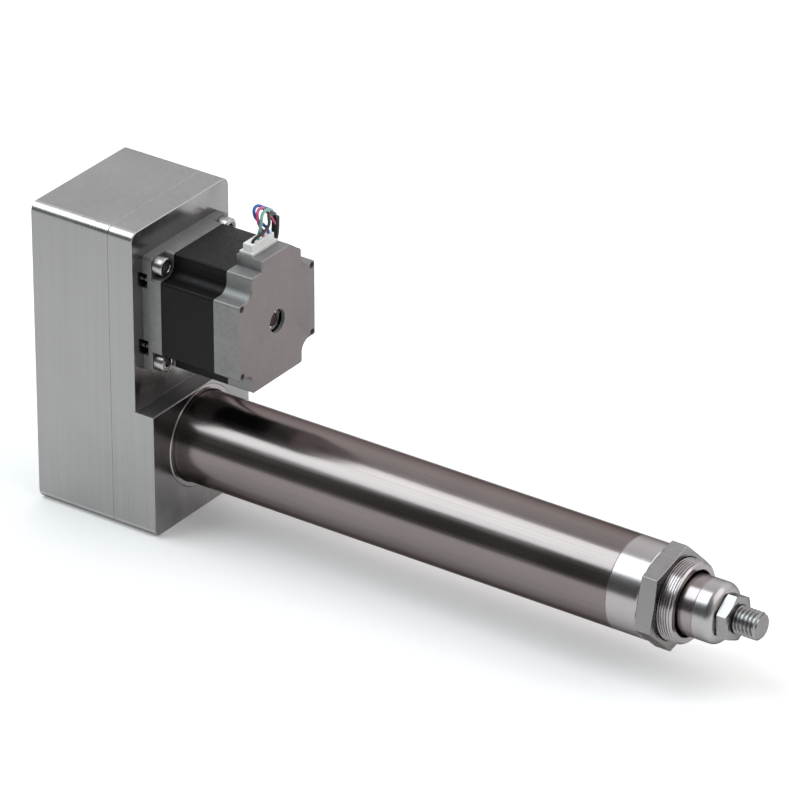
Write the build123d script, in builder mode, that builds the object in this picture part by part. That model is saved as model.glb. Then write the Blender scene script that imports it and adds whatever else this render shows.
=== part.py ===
"""Electric rod actuator with a stepper motor mounted beside the tube on a belt housing.

The rod moves along X and leaves the tube towards +X. The motor stands above the tube, +Z is up.
The origin is on the rod axis, in the middle of the nose thread that is free in front of its nut.
All sizes are in millimetres.
"""

import os
from math import radians, tan

from build123d import *

os.makedirs("parts", exist_ok=True)

# Clearances
seat_gap = 0.03
running_gap = 0.1
bolt_gap = 0.25
face_gap = 0.3

# Outer tube and front head
tube_radius = 21.3
tube_wall = 2.4
tube_exposed = 229.0
tube_seat_depth = 8.0
head_barrel_length = 15.5
head_spigot_length = 17.0
head_spigot_clearance = 0.05
nose_thread_radius = 18.5
nose_pitch_radius = 18.1
nose_length = 15.7
nose_chamfer = 1.0
nose_mouth_radius = 15.0
nose_mouth_depth = 4.6
wiper_length = 4.0
rod_seal_length = 5.0
seal_groove_radius = 15.9
head_seal_width = 3.0
head_seal_depth = 1.8
mounting_nut_length = 8.4
mounting_nut_flats = 41.8
mounting_nut_turn = 16.3
mounting_nut_bevel_radius = 18.9
mounting_nut_bevel_depth = 0.8

# Rod, end cap and stud
rod_radius = 13.9
rod_bore_radius = 9.2
rod_protrusion = 23.0
end_cap_length = 9.4
end_cap_rounding = 3.9
end_cap_plug_length = 20.0
stud_radius = 6.35
stud_pitch_radius = 5.7
stud_length = 31.6
stud_engagement = 14.0
stud_chamfer = 1.0
jam_nut_flats = 19.05
jam_nut_length = 6.0
jam_nut_turn = 34.1
jam_nut_bevel = 0.8

# Stroke, lead screw and nut
stroke = 152.4
screw_radius = 8.0
screw_tip_radius = 5.0
screw_tip_length = 9.0
screw_journal_radius = 5.0
lock_thread_length = 7.0
lead_nut_radius = 12.5
lead_nut_length = 32.0
lead_nut_flange_radius = 15.5
lead_nut_flange_length = 5.0
nut_lock_ring_length = 4.0
carrier_length = 44.0
carrier_radius = 18.4
carrier_start = 10.0
carrier_thread_length = 12.0
guide_ring_width = 8.0
guide_ring_depth = 1.6
guide_ring_offset = 5.0
magnet_width = 4.0
magnet_depth = 2.2
magnet_offset = 24.0
bumper_length = 5.0
bumper_wall = 4.0
rear_bumper_start = 2.0

# Belt housing
housing_width = 71.2
housing_bottom_z = -36.45
housing_top_z = 111.4
housing_corner_radius = 4.4
ledge_z = 24.2
lower_block_depth = 23.1
motor_plate_depth = 13.2
cover_depth = 42.1
cover_wall = 6.5
cover_rear_wall = 6.0
cavity_corner_radius = 14.0
edge_break = 0.4
collar_radius = 23.9
collar_depth = 1.8
collar_stand_out = 0.4
collar_chamfer = 0.35
housing_screw_inset = 7.5
housing_screw_radius = 2.5
housing_screw_length = 46.0
housing_screw_head_radius = 4.25
housing_screw_head_length = 5.0
housing_screw_counterbore = 5.6
housing_screw_hex = 4.0

# Screw bearings and their retainer
bearing_outer_radius = 15.0
bearing_width = 9.0
bearing_count = 2
bearing_lip_radius = 12.5
bearing_lip_width = 1.5
race_thickness = 1.9
screw_tip_cap_radius = 6.5
screw_tip_cap_length = 2.5
retainer_radius = 24.0
retainer_lip = 2.5
retainer_screw_circle = 19.6
retainer_screw_radius = 1.5
retainer_screw_length = 12.0
retainer_screw_head_radius = 2.7
retainer_screw_head_length = 2.0
retainer_screw_hex = 2.5
balls_per_bearing = 9

# Belt drive, twenty-four teeth of 5 mm pitch on both pulleys
tooth_count = 24
tooth_pitch = 5.0
pulley_radius = 18.53
tooth_root_depth = 2.0
tooth_root_radius = 1.5
belt_width = 15.0
belt_side_gap = 0.6
belt_back = 1.7
belt_running_gap = 0.12
belt_tooth_height = 1.9
belt_tooth_count = 10
belt_tooth_width = 2.6
flange_radius = 21.6
flange_width = 1.5
drive_plane_gap = 2.0
hub_radius = 11.0
drive_hub_length = 18.0
pulley_spacer_radius = 7.4
lock_nut_radius = 9.5
lock_nut_length = 5.0
lock_nut_slot = 3.0
set_screw_radius = 2.0
set_screw_length = 5.0
set_screw_offset = 5.0
key_width = 3.0
key_height = 3.0

# Motor
motor_height = 70.0
motor_size = 56.4
motor_screw_inset = 4.63
bell_length = 9.9
lug_length = 4.9
core_length = 28.6
cap_length = 13.6
notch_size = 9.9
notch_inner_radius = 5.2
notch_outer_radius = 1.2
lug_corner_radius = 2.0
pilot_radius = 19.05
pilot_length = 1.6
bell_bearing_inset = 1.0
shaft_radius = 3.175
shaft_reach = 24.0
shaft_boss_hole_radius = 5.0
rear_hole_radius = 5.5
winding_pocket_radius = 21.0
winding_reach = 4.0
winding_count = 8
winding_radius = 17.6
winding_thickness = 4.2
rotor_radius = 14.2
rotor_air_gap = 0.25
rotor_core_length = 25.0
motor_bearing_radius = 9.5
motor_bearing_width = 6.0
motor_race_thickness = 1.5
motor_ball_count = 8
wave_washer_length = 0.8
rear_wall = 1.6
motor_screw_radius = 2.5
motor_screw_length = 16.0
motor_screw_head_radius = 4.25
motor_screw_head_length = 5.0
motor_screw_hex = 4.0
through_bolt_inset = 2.3
through_bolt_from_notch = 1.8
through_bolt_radius = 1.2
through_bolt_head_radius = 1.5
through_bolt_head_length = 2.0
through_bolt_recess = 1.3
bolt_notch_height = 7.0
bolt_notch_depth = 2.6
bolt_notch_reach = 4.0

# Connector on the motor's rear cap
shelf_height = 5.2
shelf_near_y = -10.8
shelf_far_y = 9.9
shelf_slope_y = 17.2
socket_near_y = -9.2
socket_far_y = 9.2
socket_length = 7.6
header_length = 7.2
header_wall = 1.0
header_stand_out = 1.2
plug_length = 5.0
plug_top = 9.8
pin_pitch = 3.96
pin_count = 4
pin_width = 1.1

# Leads, sleeve, coil and end connector
lead_radius = 0.7
sleeve_radius = 1.75
coil_middle_radius = 18.5
coil_lift = 0.6
coil_entry_length = 13.0
coil_exit_length = 16.5
sleeve_drop_x = -253.5
sleeve_drop_y = 31.5
sleeve_landing_reach = 20.3
tie_width = 2.5
tie_gap = 0.1
tie_turns = (30, 150)
end_plug_length = 16.0
end_plug_width = 10.0
end_plug_height = 8.4

# Places along X, worked out from the sizes above
shoulder_x = -(mounting_nut_length + nose_length - nose_chamfer) / 2
nut_face_x = shoulder_x + mounting_nut_length
nose_face_x = shoulder_x + nose_length
tube_front_x = shoulder_x - head_barrel_length
block_face_x = tube_front_x - tube_exposed
split_x = block_face_x - lower_block_depth
motor_face_x = split_x + motor_plate_depth
cover_rear_x = split_x - cover_depth
tube_rear_x = block_face_x - tube_seat_depth
bearing_front_x = tube_rear_x - bearing_lip_width
bearing_rear_x = bearing_front_x - bearing_count * bearing_width
retainer_rear_x = bearing_rear_x - retainer_lip
pulley_length = belt_width + 2 * belt_side_gap + 2 * flange_width
pulley_front_x = retainer_rear_x - drive_plane_gap
pulley_rear_x = pulley_front_x - pulley_length
belt_front_x = pulley_front_x - flange_width - belt_side_gap
lock_nut_rear_x = pulley_rear_x - lock_nut_length
screw_rear_x = pulley_rear_x - lock_thread_length
tube_bore_radius = tube_radius - tube_wall
carrier_rear_x = block_face_x + carrier_start
carrier_front_x = carrier_rear_x + carrier_length
nut_front_x = carrier_rear_x + lead_nut_length + nut_lock_ring_length
rod_rear_x = carrier_front_x - carrier_thread_length
spigot_rear_x = tube_front_x - head_spigot_length
screw_front_x = nut_front_x + stroke + face_gap
rod_front_x = shoulder_x + rod_protrusion
rod_face_x = rod_front_x + end_cap_length
stud_front_x = rod_face_x + stud_length - stud_engagement
core_x = motor_face_x + bell_length
cap_x = core_x + core_length
motor_rear_x = cap_x + cap_length
motor_half = motor_size / 2
housing_height = housing_top_z - housing_bottom_z
housing_middle_z = (housing_top_z + housing_bottom_z) / 2


def turned(*steps, height=0.0, mode=Mode.ADD):
    """Turn rings about the line along X at this height.

    Each step is (start along X, end along X, inner radius, outer radius).
    """
    with BuildSketch(Plane.XY.offset(height)) as profile:
        for start, end, inner, outer in steps:
            with Locations(((start + end) / 2, (inner + outer) / 2)):
                Rectangle(abs(end - start), outer - inner)
    revolve(profile.sketch, axis=Axis((0, 0, height), (1, 0, 0)), mode=mode)


def rods(start, end, radius, points, mode=Mode.ADD):
    """Round bars along X from start to end, at each (y, z) point."""
    with BuildSketch(Plane.YZ.offset(start)) as profile:
        with Locations(*points):
            Circle(radius)
    extrude(profile.sketch, amount=end - start, mode=mode)


def hexagons(start, end, flats, points, turn=0.0, mode=Mode.ADD):
    """Hexagonal bars along X from start to end, at each (y, z) point."""
    with BuildSketch(Plane.YZ.offset(start)) as profile:
        with Locations(*points):
            RegularPolygon(flats / 2, 6, major_radius=False, rotation=turn)
    extrude(profile.sketch, amount=end - start, mode=mode)


def blocks(start, end, low, high, mode=Mode.ADD):
    """A block along X from start to end, between two (y, z) corners."""
    with BuildSketch(Plane.YZ.offset(start)) as profile:
        with Locations(((low[0] + high[0]) / 2, (low[1] + high[1]) / 2)):
            Rectangle(high[0] - low[0], high[1] - low[1])
    extrude(profile.sketch, amount=end - start, mode=mode)


def ring_of_balls(middle_x, circle_radius, ball_radius, count, height=0.0):
    """Balls evenly spaced about the line along X at this height."""
    with Locations(Plane((middle_x, 0, height), x_dir=(0, 1, 0), z_dir=(1, 0, 0))):
        with PolarLocations(circle_radius, count):
            Sphere(ball_radius)


def four_corners(half_y, half_z, height=0.0):
    """The four (y, z) corners of a rectangle centred on this height."""
    return [(side * half_y, height + level * half_z) for side in (-1, 1) for level in (-1, 1)]


def turned_outline(*points, mode=Mode.ADD):
    """Turn a closed outline of (x, radius) points about the rod axis."""
    with BuildSketch(Plane.XY) as profile:
        with BuildLine():
            Polyline(*points, close=True)
        make_face()
    revolve(profile.sketch, axis=Axis.X, mode=mode)


def round_corners_of_nut(flats, start, end, rounding):
    """Cut the corners of a hexagonal bar back with a cone at each end."""
    corner = flats / 3**0.5
    turned_outline(
        (start, 0),
        (start, flats / 2 - rounding),
        (start + rounding, corner),
        (end - rounding, corner),
        (end, flats / 2 - rounding),
        (end, 0),
        mode=Mode.INTERSECT,
    )


def bevel_bore(start, end, bore_radius, rim_radius, depth):
    """Open both ends of a bore out to a wider rim with a cone."""
    for face_x, inner_x in ((start, start + depth), (end, end - depth)):
        turned_outline(
            (face_x, 0),
            (face_x, rim_radius),
            (inner_x, bore_radius),
            (inner_x, 0),
            mode=Mode.SUBTRACT,
        )


def keep(piece, label):
    """Label a finished piece and write it to its own file."""
    piece.part.label = label
    export_step(piece.part, f"parts/{label}.step")


# Belt housing, two halves that meet in a flat joint
housing_screw_points = four_corners(
    housing_width / 2 - housing_screw_inset,
    housing_height / 2 - housing_screw_inset,
    housing_middle_z,
)
motor_screw_points = four_corners(
    motor_half - motor_screw_inset, motor_half - motor_screw_inset, motor_height
)
through_bolt_points = four_corners(
    motor_half - through_bolt_inset,
    motor_half - notch_size - through_bolt_from_notch,
    motor_height,
)
retainer_screw_points = four_corners(
    retainer_screw_circle / 2**0.5, retainer_screw_circle / 2**0.5
)
housing_screw_head_x = cover_rear_x + housing_screw_counterbore

with BuildPart() as rear_housing:
    with BuildSketch(Plane.YZ.offset(cover_rear_x)):
        with Locations((0, housing_middle_z)):
            RectangleRounded(housing_width, housing_height, housing_corner_radius)
    extrude(amount=cover_depth)
    chamfer(faces().sort_by(Axis.X)[0].edges(), edge_break)
    chamfer(faces().sort_by(Axis.X)[-1].edges(), edge_break / 2)
    with BuildSketch(Plane.YZ.offset(cover_rear_x + cover_rear_wall)):
        with Locations((0, housing_middle_z)):
            RectangleRounded(
                housing_width - 2 * cover_wall,
                housing_height - 2 * cover_wall,
                cavity_corner_radius,
            )
    extrude(amount=cover_depth - cover_rear_wall, mode=Mode.SUBTRACT)
    rods(
        cover_rear_x,
        split_x,
        housing_screw_radius + bolt_gap,
        housing_screw_points,
        mode=Mode.SUBTRACT,
    )
    rods(
        cover_rear_x,
        housing_screw_head_x,
        housing_screw_head_radius + bolt_gap,
        housing_screw_points,
        mode=Mode.SUBTRACT,
    )
keep(rear_housing, "rear_housing")

with BuildPart() as front_housing:
    with BuildSketch(Plane.YZ.offset(split_x)):
        with Locations((0, housing_middle_z)):
            RectangleRounded(housing_width, housing_height, housing_corner_radius)
    extrude(amount=lower_block_depth)
    chamfer(faces().sort_by(Axis.X)[0].edges(), edge_break / 2)
    blocks(
        motor_face_x,
        block_face_x,
        (-housing_width, ledge_z),
        (housing_width, 2 * housing_top_z),
        mode=Mode.SUBTRACT,
    )
    front_faces = faces().filter_by(Axis.X).sort_by(Axis.X)
    chamfer(front_faces[-1].edges() + front_faces[-2].edges().sort_by(Axis.Z)[1:], edge_break)
    turned((tube_rear_x, block_face_x, 0, tube_radius + seat_gap), mode=Mode.SUBTRACT)
    turned(
        (block_face_x - collar_depth, block_face_x, 0, collar_radius + seat_gap),
        mode=Mode.SUBTRACT,
    )
    turned((split_x, tube_rear_x, 0, bearing_lip_radius), mode=Mode.SUBTRACT)
    turned(
        (split_x, bearing_front_x, 0, bearing_outer_radius + seat_gap),
        mode=Mode.SUBTRACT,
    )
    turned(
        (split_x, motor_face_x, 0, pilot_radius + seat_gap),
        height=motor_height,
        mode=Mode.SUBTRACT,
    )
    rods(
        split_x,
        housing_screw_head_x + housing_screw_length,
        housing_screw_radius + seat_gap,
        housing_screw_points,
        mode=Mode.SUBTRACT,
    )
    rods(
        split_x,
        motor_face_x,
        motor_screw_radius + seat_gap,
        motor_screw_points,
        mode=Mode.SUBTRACT,
    )
    rods(
        split_x,
        retainer_rear_x + retainer_screw_length,
        retainer_screw_radius + seat_gap,
        retainer_screw_points,
        mode=Mode.SUBTRACT,
    )
keep(front_housing, "front_housing")

with BuildPart() as housing_screws:
    rods(
        housing_screw_head_x,
        housing_screw_head_x + housing_screw_length,
        housing_screw_radius,
        housing_screw_points,
    )
    rods(
        housing_screw_head_x - housing_screw_head_length,
        housing_screw_head_x,
        housing_screw_head_radius,
        housing_screw_points,
    )
    hexagons(
        housing_screw_head_x - housing_screw_head_length,
        housing_screw_head_x - housing_screw_head_length / 2,
        housing_screw_hex,
        housing_screw_points,
        mode=Mode.SUBTRACT,
    )
keep(housing_screws, "housing_screws")

with BuildPart() as tube_collar:
    collar_front_x = block_face_x + collar_stand_out
    turned((block_face_x - collar_depth, collar_front_x, tube_radius + seat_gap, collar_radius))
    collar_edges = edges().filter_by(GeomType.CIRCLE).group_by(Axis.X)[-1]
    chamfer(collar_edges, collar_chamfer)
keep(tube_collar, "tube_collar")

# Outer tube and the head that closes its front end
with BuildPart() as outer_tube:
    turned((tube_rear_x, tube_front_x, tube_bore_radius, tube_radius))
keep(outer_tube, "outer_tube")

wiper_front_x = nose_face_x - nose_mouth_depth
seal_front_x = wiper_front_x - wiper_length
bushing_front_x = seal_front_x - rod_seal_length
head_seal_x = tube_front_x - head_spigot_length / 2

with BuildPart() as front_head:
    turned(
        (
            spigot_rear_x,
            tube_front_x,
            rod_radius,
            tube_bore_radius - head_spigot_clearance,
        ),
        (tube_front_x, shoulder_x, rod_radius, tube_radius),
        (shoulder_x, nut_face_x, rod_radius, nose_pitch_radius),
        (nut_face_x, nose_face_x, rod_radius, nose_thread_radius),
    )
    nose_edges = edges().filter_by(GeomType.CIRCLE).group_by(Axis.X)[-1].sort_by(SortBy.RADIUS)
    chamfer(nose_edges[-1], nose_chamfer)
    turned(
        (spigot_rear_x, wiper_front_x, 0, seal_groove_radius),
        (wiper_front_x, nose_face_x, 0, nose_mouth_radius),
        mode=Mode.SUBTRACT,
    )
    turned(
        (
            head_seal_x - head_seal_width / 2,
            head_seal_x + head_seal_width / 2,
            tube_bore_radius - head_seal_depth,
            tube_radius,
        ),
        mode=Mode.SUBTRACT,
    )
keep(front_head, "front_head")

with BuildPart() as head_seal_ring:
    turned(
        (
            head_seal_x - head_seal_width / 2 + seat_gap,
            head_seal_x + head_seal_width / 2 - seat_gap,
            tube_bore_radius - head_seal_depth + seat_gap,
            tube_bore_radius - seat_gap,
        )
    )
    fillet(edges().filter_by(GeomType.CIRCLE), head_seal_depth / 4)
keep(head_seal_ring, "head_seal_ring")

with BuildPart() as rod_bushing:
    turned(
        (
            spigot_rear_x,
            bushing_front_x,
            rod_radius + running_gap,
            seal_groove_radius - seat_gap,
        )
    )
keep(rod_bushing, "rod_bushing")

with BuildPart() as rod_seal:
    turned(
        (
            bushing_front_x,
            seal_front_x,
            rod_radius + running_gap,
            seal_groove_radius - seat_gap,
        )
    )
keep(rod_seal, "rod_seal")

with BuildPart() as rod_wiper:
    turned(
        (
            seal_front_x,
            wiper_front_x,
            rod_radius + running_gap,
            seal_groove_radius - seat_gap,
        )
    )
keep(rod_wiper, "rod_wiper")

with BuildPart() as mounting_nut:
    hexagons(shoulder_x, nut_face_x, mounting_nut_flats, [(0, 0)], turn=mounting_nut_turn)
    round_corners_of_nut(mounting_nut_flats, shoulder_x, nut_face_x, edge_break)
    turned((shoulder_x, nut_face_x, 0, nose_pitch_radius + seat_gap), mode=Mode.SUBTRACT)
    bevel_bore(
        shoulder_x,
        nut_face_x,
        nose_pitch_radius,
        mounting_nut_bevel_radius,
        mounting_nut_bevel_depth,
    )
keep(mounting_nut, "mounting_nut")

# Bumpers at both ends of the stroke
with BuildPart() as rear_bumper:
    turned(
        (
            block_face_x + rear_bumper_start,
            block_face_x + rear_bumper_start + bumper_length,
            tube_bore_radius - bumper_wall,
            tube_bore_radius - seat_gap,
        )
    )
keep(rear_bumper, "rear_bumper")

with BuildPart() as front_bumper:
    turned(
        (
            spigot_rear_x - bumper_length,
            spigot_rear_x,
            rod_radius + 2 * face_gap,
            tube_bore_radius - seat_gap,
        )
    )
keep(front_bumper, "front_bumper")

# Screw bearings, a pair between the housing's lip and the retainer
ball_radius = (bearing_outer_radius - screw_journal_radius - 2 * race_thickness) / 2 - running_gap
ball_circle = (bearing_outer_radius + screw_journal_radius) / 2
bearing_steps = [
    (
        bearing_front_x - (number + 1) * bearing_width + seat_gap,
        bearing_front_x - number * bearing_width - seat_gap,
    )
    for number in range(bearing_count)
]

with BuildPart() as screw_bearing_outer_rings:
    turned(
        *[
            (rear, front, bearing_outer_radius - race_thickness, bearing_outer_radius)
            for rear, front in bearing_steps
        ]
    )
keep(screw_bearing_outer_rings, "screw_bearing_outer_rings")

with BuildPart() as screw_bearing_balls:
    for rear, front in bearing_steps:
        ring_of_balls((rear + front) / 2, ball_circle, ball_radius, balls_per_bearing)
keep(screw_bearing_balls, "screw_bearing_balls")

with BuildPart() as screw_bearing_inner_rings:
    turned(
        *[
            (
                rear,
                front,
                screw_journal_radius + seat_gap,
                screw_journal_radius + race_thickness,
            )
            for rear, front in bearing_steps
        ]
    )
keep(screw_bearing_inner_rings, "screw_bearing_inner_rings")

with BuildPart() as bearing_retainer:
    turned((retainer_rear_x, split_x, bearing_lip_radius, retainer_radius))
    turned(
        (bearing_rear_x, split_x, 0, bearing_outer_radius + seat_gap),
        mode=Mode.SUBTRACT,
    )
    rods(
        retainer_rear_x,
        split_x,
        retainer_screw_radius + bolt_gap,
        retainer_screw_points,
        mode=Mode.SUBTRACT,
    )
keep(bearing_retainer, "bearing_retainer")

with BuildPart() as retainer_screws:
    rods(
        retainer_rear_x,
        retainer_rear_x + retainer_screw_length,
        retainer_screw_radius,
        retainer_screw_points,
    )
    rods(
        retainer_rear_x - retainer_screw_head_length,
        retainer_rear_x,
        retainer_screw_head_radius,
        retainer_screw_points,
    )
    hexagons(
        retainer_rear_x - retainer_screw_head_length,
        retainer_rear_x - retainer_screw_head_length / 2,
        retainer_screw_hex,
        retainer_screw_points,
        mode=Mode.SUBTRACT,
    )
keep(retainer_screws, "retainer_screws")

# Lead screw and everything that turns with it
with BuildPart() as lead_screw:
    turned(
        (screw_rear_x, bearing_front_x, 0, screw_journal_radius),
        (bearing_front_x, screw_front_x, 0, screw_radius),
        (screw_front_x, screw_front_x + screw_tip_length, 0, screw_tip_radius),
    )
    blocks(
        pulley_rear_x,
        pulley_front_x,
        (-key_width / 2, screw_journal_radius - key_height / 2),
        (key_width / 2, 2 * screw_journal_radius),
        mode=Mode.SUBTRACT,
    )
    rods(
        screw_front_x,
        screw_front_x + screw_tip_length,
        screw_tip_radius / 2,
        [(0, 0)],
        mode=Mode.SUBTRACT,
    )
keep(lead_screw, "lead_screw")

with BuildPart() as screw_tip_bushing:
    turned(
        (
            screw_front_x,
            screw_front_x + screw_tip_length,
            screw_tip_radius + seat_gap,
            rod_bore_radius - running_gap,
        )
    )
keep(screw_tip_bushing, "screw_tip_bushing")

tip_cap_x = screw_front_x + screw_tip_length
with BuildPart() as screw_tip_screw:
    turned(
        (screw_front_x + face_gap, tip_cap_x, 0, screw_tip_radius / 2 - seat_gap),
        (tip_cap_x, tip_cap_x + screw_tip_cap_length, 0, screw_tip_cap_radius),
    )
    hexagons(
        tip_cap_x + screw_tip_cap_length / 2,
        tip_cap_x + screw_tip_cap_length,
        screw_tip_radius,
        [(0, 0)],
        mode=Mode.SUBTRACT,
    )
keep(screw_tip_screw, "screw_tip_screw")

with BuildPart() as pulley_spacer:
    turned(
        (
            pulley_front_x,
            bearing_rear_x,
            screw_journal_radius + seat_gap,
            pulley_spacer_radius,
        )
    )
keep(pulley_spacer, "pulley_spacer")


def toothed_wheel(height):
    """A flanged timing pulley with round-bottomed gaps between its teeth."""
    turned((pulley_rear_x, pulley_front_x, 0, pulley_radius), height=height)
    with BuildSketch(Plane.YZ.offset(pulley_rear_x)) as gaps:
        with Locations((0, height)):
            with PolarLocations(pulley_radius - tooth_root_depth + tooth_root_radius, tooth_count):
                Circle(tooth_root_radius)
                with Locations((tooth_root_radius, 0)):
                    Rectangle(2 * tooth_root_radius, 2 * tooth_root_radius)
    extrude(gaps.sketch, amount=pulley_length, mode=Mode.SUBTRACT)
    turned(
        (pulley_rear_x, pulley_rear_x + flange_width, 0, flange_radius),
        (pulley_front_x - flange_width, pulley_front_x, 0, flange_radius),
        height=height,
    )


with BuildPart() as driven_pulley:
    toothed_wheel(0.0)
    turned(
        (pulley_rear_x, pulley_front_x, 0, screw_journal_radius + seat_gap),
        mode=Mode.SUBTRACT,
    )
    blocks(
        pulley_rear_x,
        pulley_front_x,
        (-key_width / 2, 0),
        (key_width / 2, screw_journal_radius + key_height / 2 + seat_gap),
        mode=Mode.SUBTRACT,
    )
keep(driven_pulley, "driven_pulley")

with BuildPart() as pulley_key:
    blocks(
        pulley_rear_x + face_gap,
        pulley_front_x - face_gap,
        (-key_width / 2 + seat_gap, screw_journal_radius - key_height / 2 + seat_gap),
        (key_width / 2 - seat_gap, screw_journal_radius + key_height / 2),
    )
keep(pulley_key, "pulley_key")

with BuildPart() as screw_lock_nut:
    turned((lock_nut_rear_x, pulley_rear_x, screw_journal_radius + seat_gap, lock_nut_radius))
    with BuildSketch(Plane.YZ.offset(lock_nut_rear_x)):
        with PolarLocations(lock_nut_radius, 4):
            Rectangle(lock_nut_slot, lock_nut_slot)
    extrude(amount=lock_nut_length, mode=Mode.SUBTRACT)
keep(screw_lock_nut, "screw_lock_nut")

# Rod assembly, which slides
with BuildPart() as nut_carrier:
    turned((carrier_rear_x, carrier_front_x, 0, carrier_radius))
    turned(
        (
            carrier_rear_x + guide_ring_offset,
            carrier_rear_x + guide_ring_offset + guide_ring_width,
            carrier_radius - guide_ring_depth,
            tube_radius,
        ),
        (
            carrier_rear_x + magnet_offset,
            carrier_rear_x + magnet_offset + magnet_width,
            carrier_radius - magnet_depth,
            tube_radius,
        ),
        mode=Mode.SUBTRACT,
    )
    turned(
        (carrier_rear_x, rod_rear_x, 0, lead_nut_radius + seat_gap),
        (
            carrier_rear_x,
            carrier_rear_x + lead_nut_flange_length + nut_lock_ring_length,
            0,
            lead_nut_flange_radius + seat_gap,
        ),
        (rod_rear_x, carrier_front_x, 0, rod_radius + seat_gap),
        mode=Mode.SUBTRACT,
    )
keep(nut_carrier, "nut_carrier")

nut_rear_x = carrier_rear_x + nut_lock_ring_length
with BuildPart() as lead_nut:
    turned(
        (
            nut_rear_x,
            nut_rear_x + lead_nut_flange_length,
            screw_radius + running_gap,
            lead_nut_flange_radius,
        ),
        (
            nut_rear_x + lead_nut_flange_length,
            min(nut_rear_x + lead_nut_length, rod_rear_x),
            screw_radius + running_gap,
            lead_nut_radius,
        ),
    )
keep(lead_nut, "lead_nut")

with BuildPart() as nut_lock_ring:
    turned((carrier_rear_x, nut_rear_x, screw_radius + 2 * face_gap, lead_nut_flange_radius))
keep(nut_lock_ring, "nut_lock_ring")

with BuildPart() as carrier_guide_ring:
    turned(
        (
            carrier_rear_x + guide_ring_offset + seat_gap,
            carrier_rear_x + guide_ring_offset + guide_ring_width - seat_gap,
            carrier_radius - guide_ring_depth + seat_gap,
            tube_bore_radius - running_gap,
        )
    )
keep(carrier_guide_ring, "carrier_guide_ring")

with BuildPart() as position_magnet:
    turned(
        (
            carrier_rear_x + magnet_offset + seat_gap,
            carrier_rear_x + magnet_offset + magnet_width - seat_gap,
            carrier_radius - magnet_depth + seat_gap,
            carrier_radius,
        )
    )
keep(position_magnet, "position_magnet")

with BuildPart() as thrust_rod:
    turned((rod_rear_x, rod_front_x, rod_bore_radius, rod_radius))
keep(thrust_rod, "thrust_rod")

with BuildPart() as rod_end_cap:
    turned(
        (rod_front_x - end_cap_plug_length, rod_front_x, 0, rod_bore_radius - seat_gap),
        (rod_front_x, rod_face_x, 0, rod_radius),
    )
    fillet(edges().filter_by(GeomType.CIRCLE).group_by(Axis.X)[-1], end_cap_rounding)
    turned(
        (rod_face_x - stud_engagement, rod_face_x, 0, stud_pitch_radius + seat_gap),
        mode=Mode.SUBTRACT,
    )
keep(rod_end_cap, "rod_end_cap")

jam_nut_front_x = rod_face_x + jam_nut_length
with BuildPart() as rod_stud:
    turned(
        (rod_face_x - stud_engagement, jam_nut_front_x, 0, stud_pitch_radius),
        (jam_nut_front_x, stud_front_x, 0, stud_radius),
    )
    chamfer(edges().filter_by(GeomType.CIRCLE).group_by(Axis.X)[-1], stud_chamfer)
keep(rod_stud, "rod_stud")

with BuildPart() as jam_nut:
    hexagons(rod_face_x, jam_nut_front_x, jam_nut_flats, [(0, 0)], turn=jam_nut_turn)
    round_corners_of_nut(jam_nut_flats, rod_face_x, jam_nut_front_x, jam_nut_bevel)
    turned((rod_face_x, jam_nut_front_x, 0, stud_pitch_radius + seat_gap), mode=Mode.SUBTRACT)
    bevel_bore(
        rod_face_x,
        jam_nut_front_x,
        stud_pitch_radius,
        stud_radius + edge_break,
        jam_nut_bevel,
    )
keep(jam_nut, "jam_nut")


# Motor shells, one square section with a rounded notch at each corner
def notched_square(start, length):
    """Extrude the motor's section, with its four corners cut back for the screw heads."""
    corner_middle = motor_half - notch_size / 2 + bolt_gap
    with BuildSketch(Plane.YZ.offset(start)) as section:
        with Locations((0, motor_height)):
            Rectangle(motor_size, motor_size)
        with Locations(*four_corners(corner_middle, corner_middle, motor_height)):
            Rectangle(
                notch_size + 2 * bolt_gap,
                notch_size + 2 * bolt_gap,
                mode=Mode.SUBTRACT,
            )
        inner = vertices().filter_by(
            lambda v: abs(v.X) < motor_half - bolt_gap and abs(v.Y - motor_height) < motor_half - bolt_gap
        )
        fillet(inner, notch_inner_radius)
        rim = motor_half - notch_size
        outer = vertices().filter_by(
            lambda v: max(abs(v.X), abs(v.Y - motor_height)) > motor_half - seat_gap
            and min(abs(v.X), abs(v.Y - motor_height)) < rim + 2 * bolt_gap
        )
        fillet(outer, notch_outer_radius)
    extrude(section.sketch, amount=length)


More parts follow.
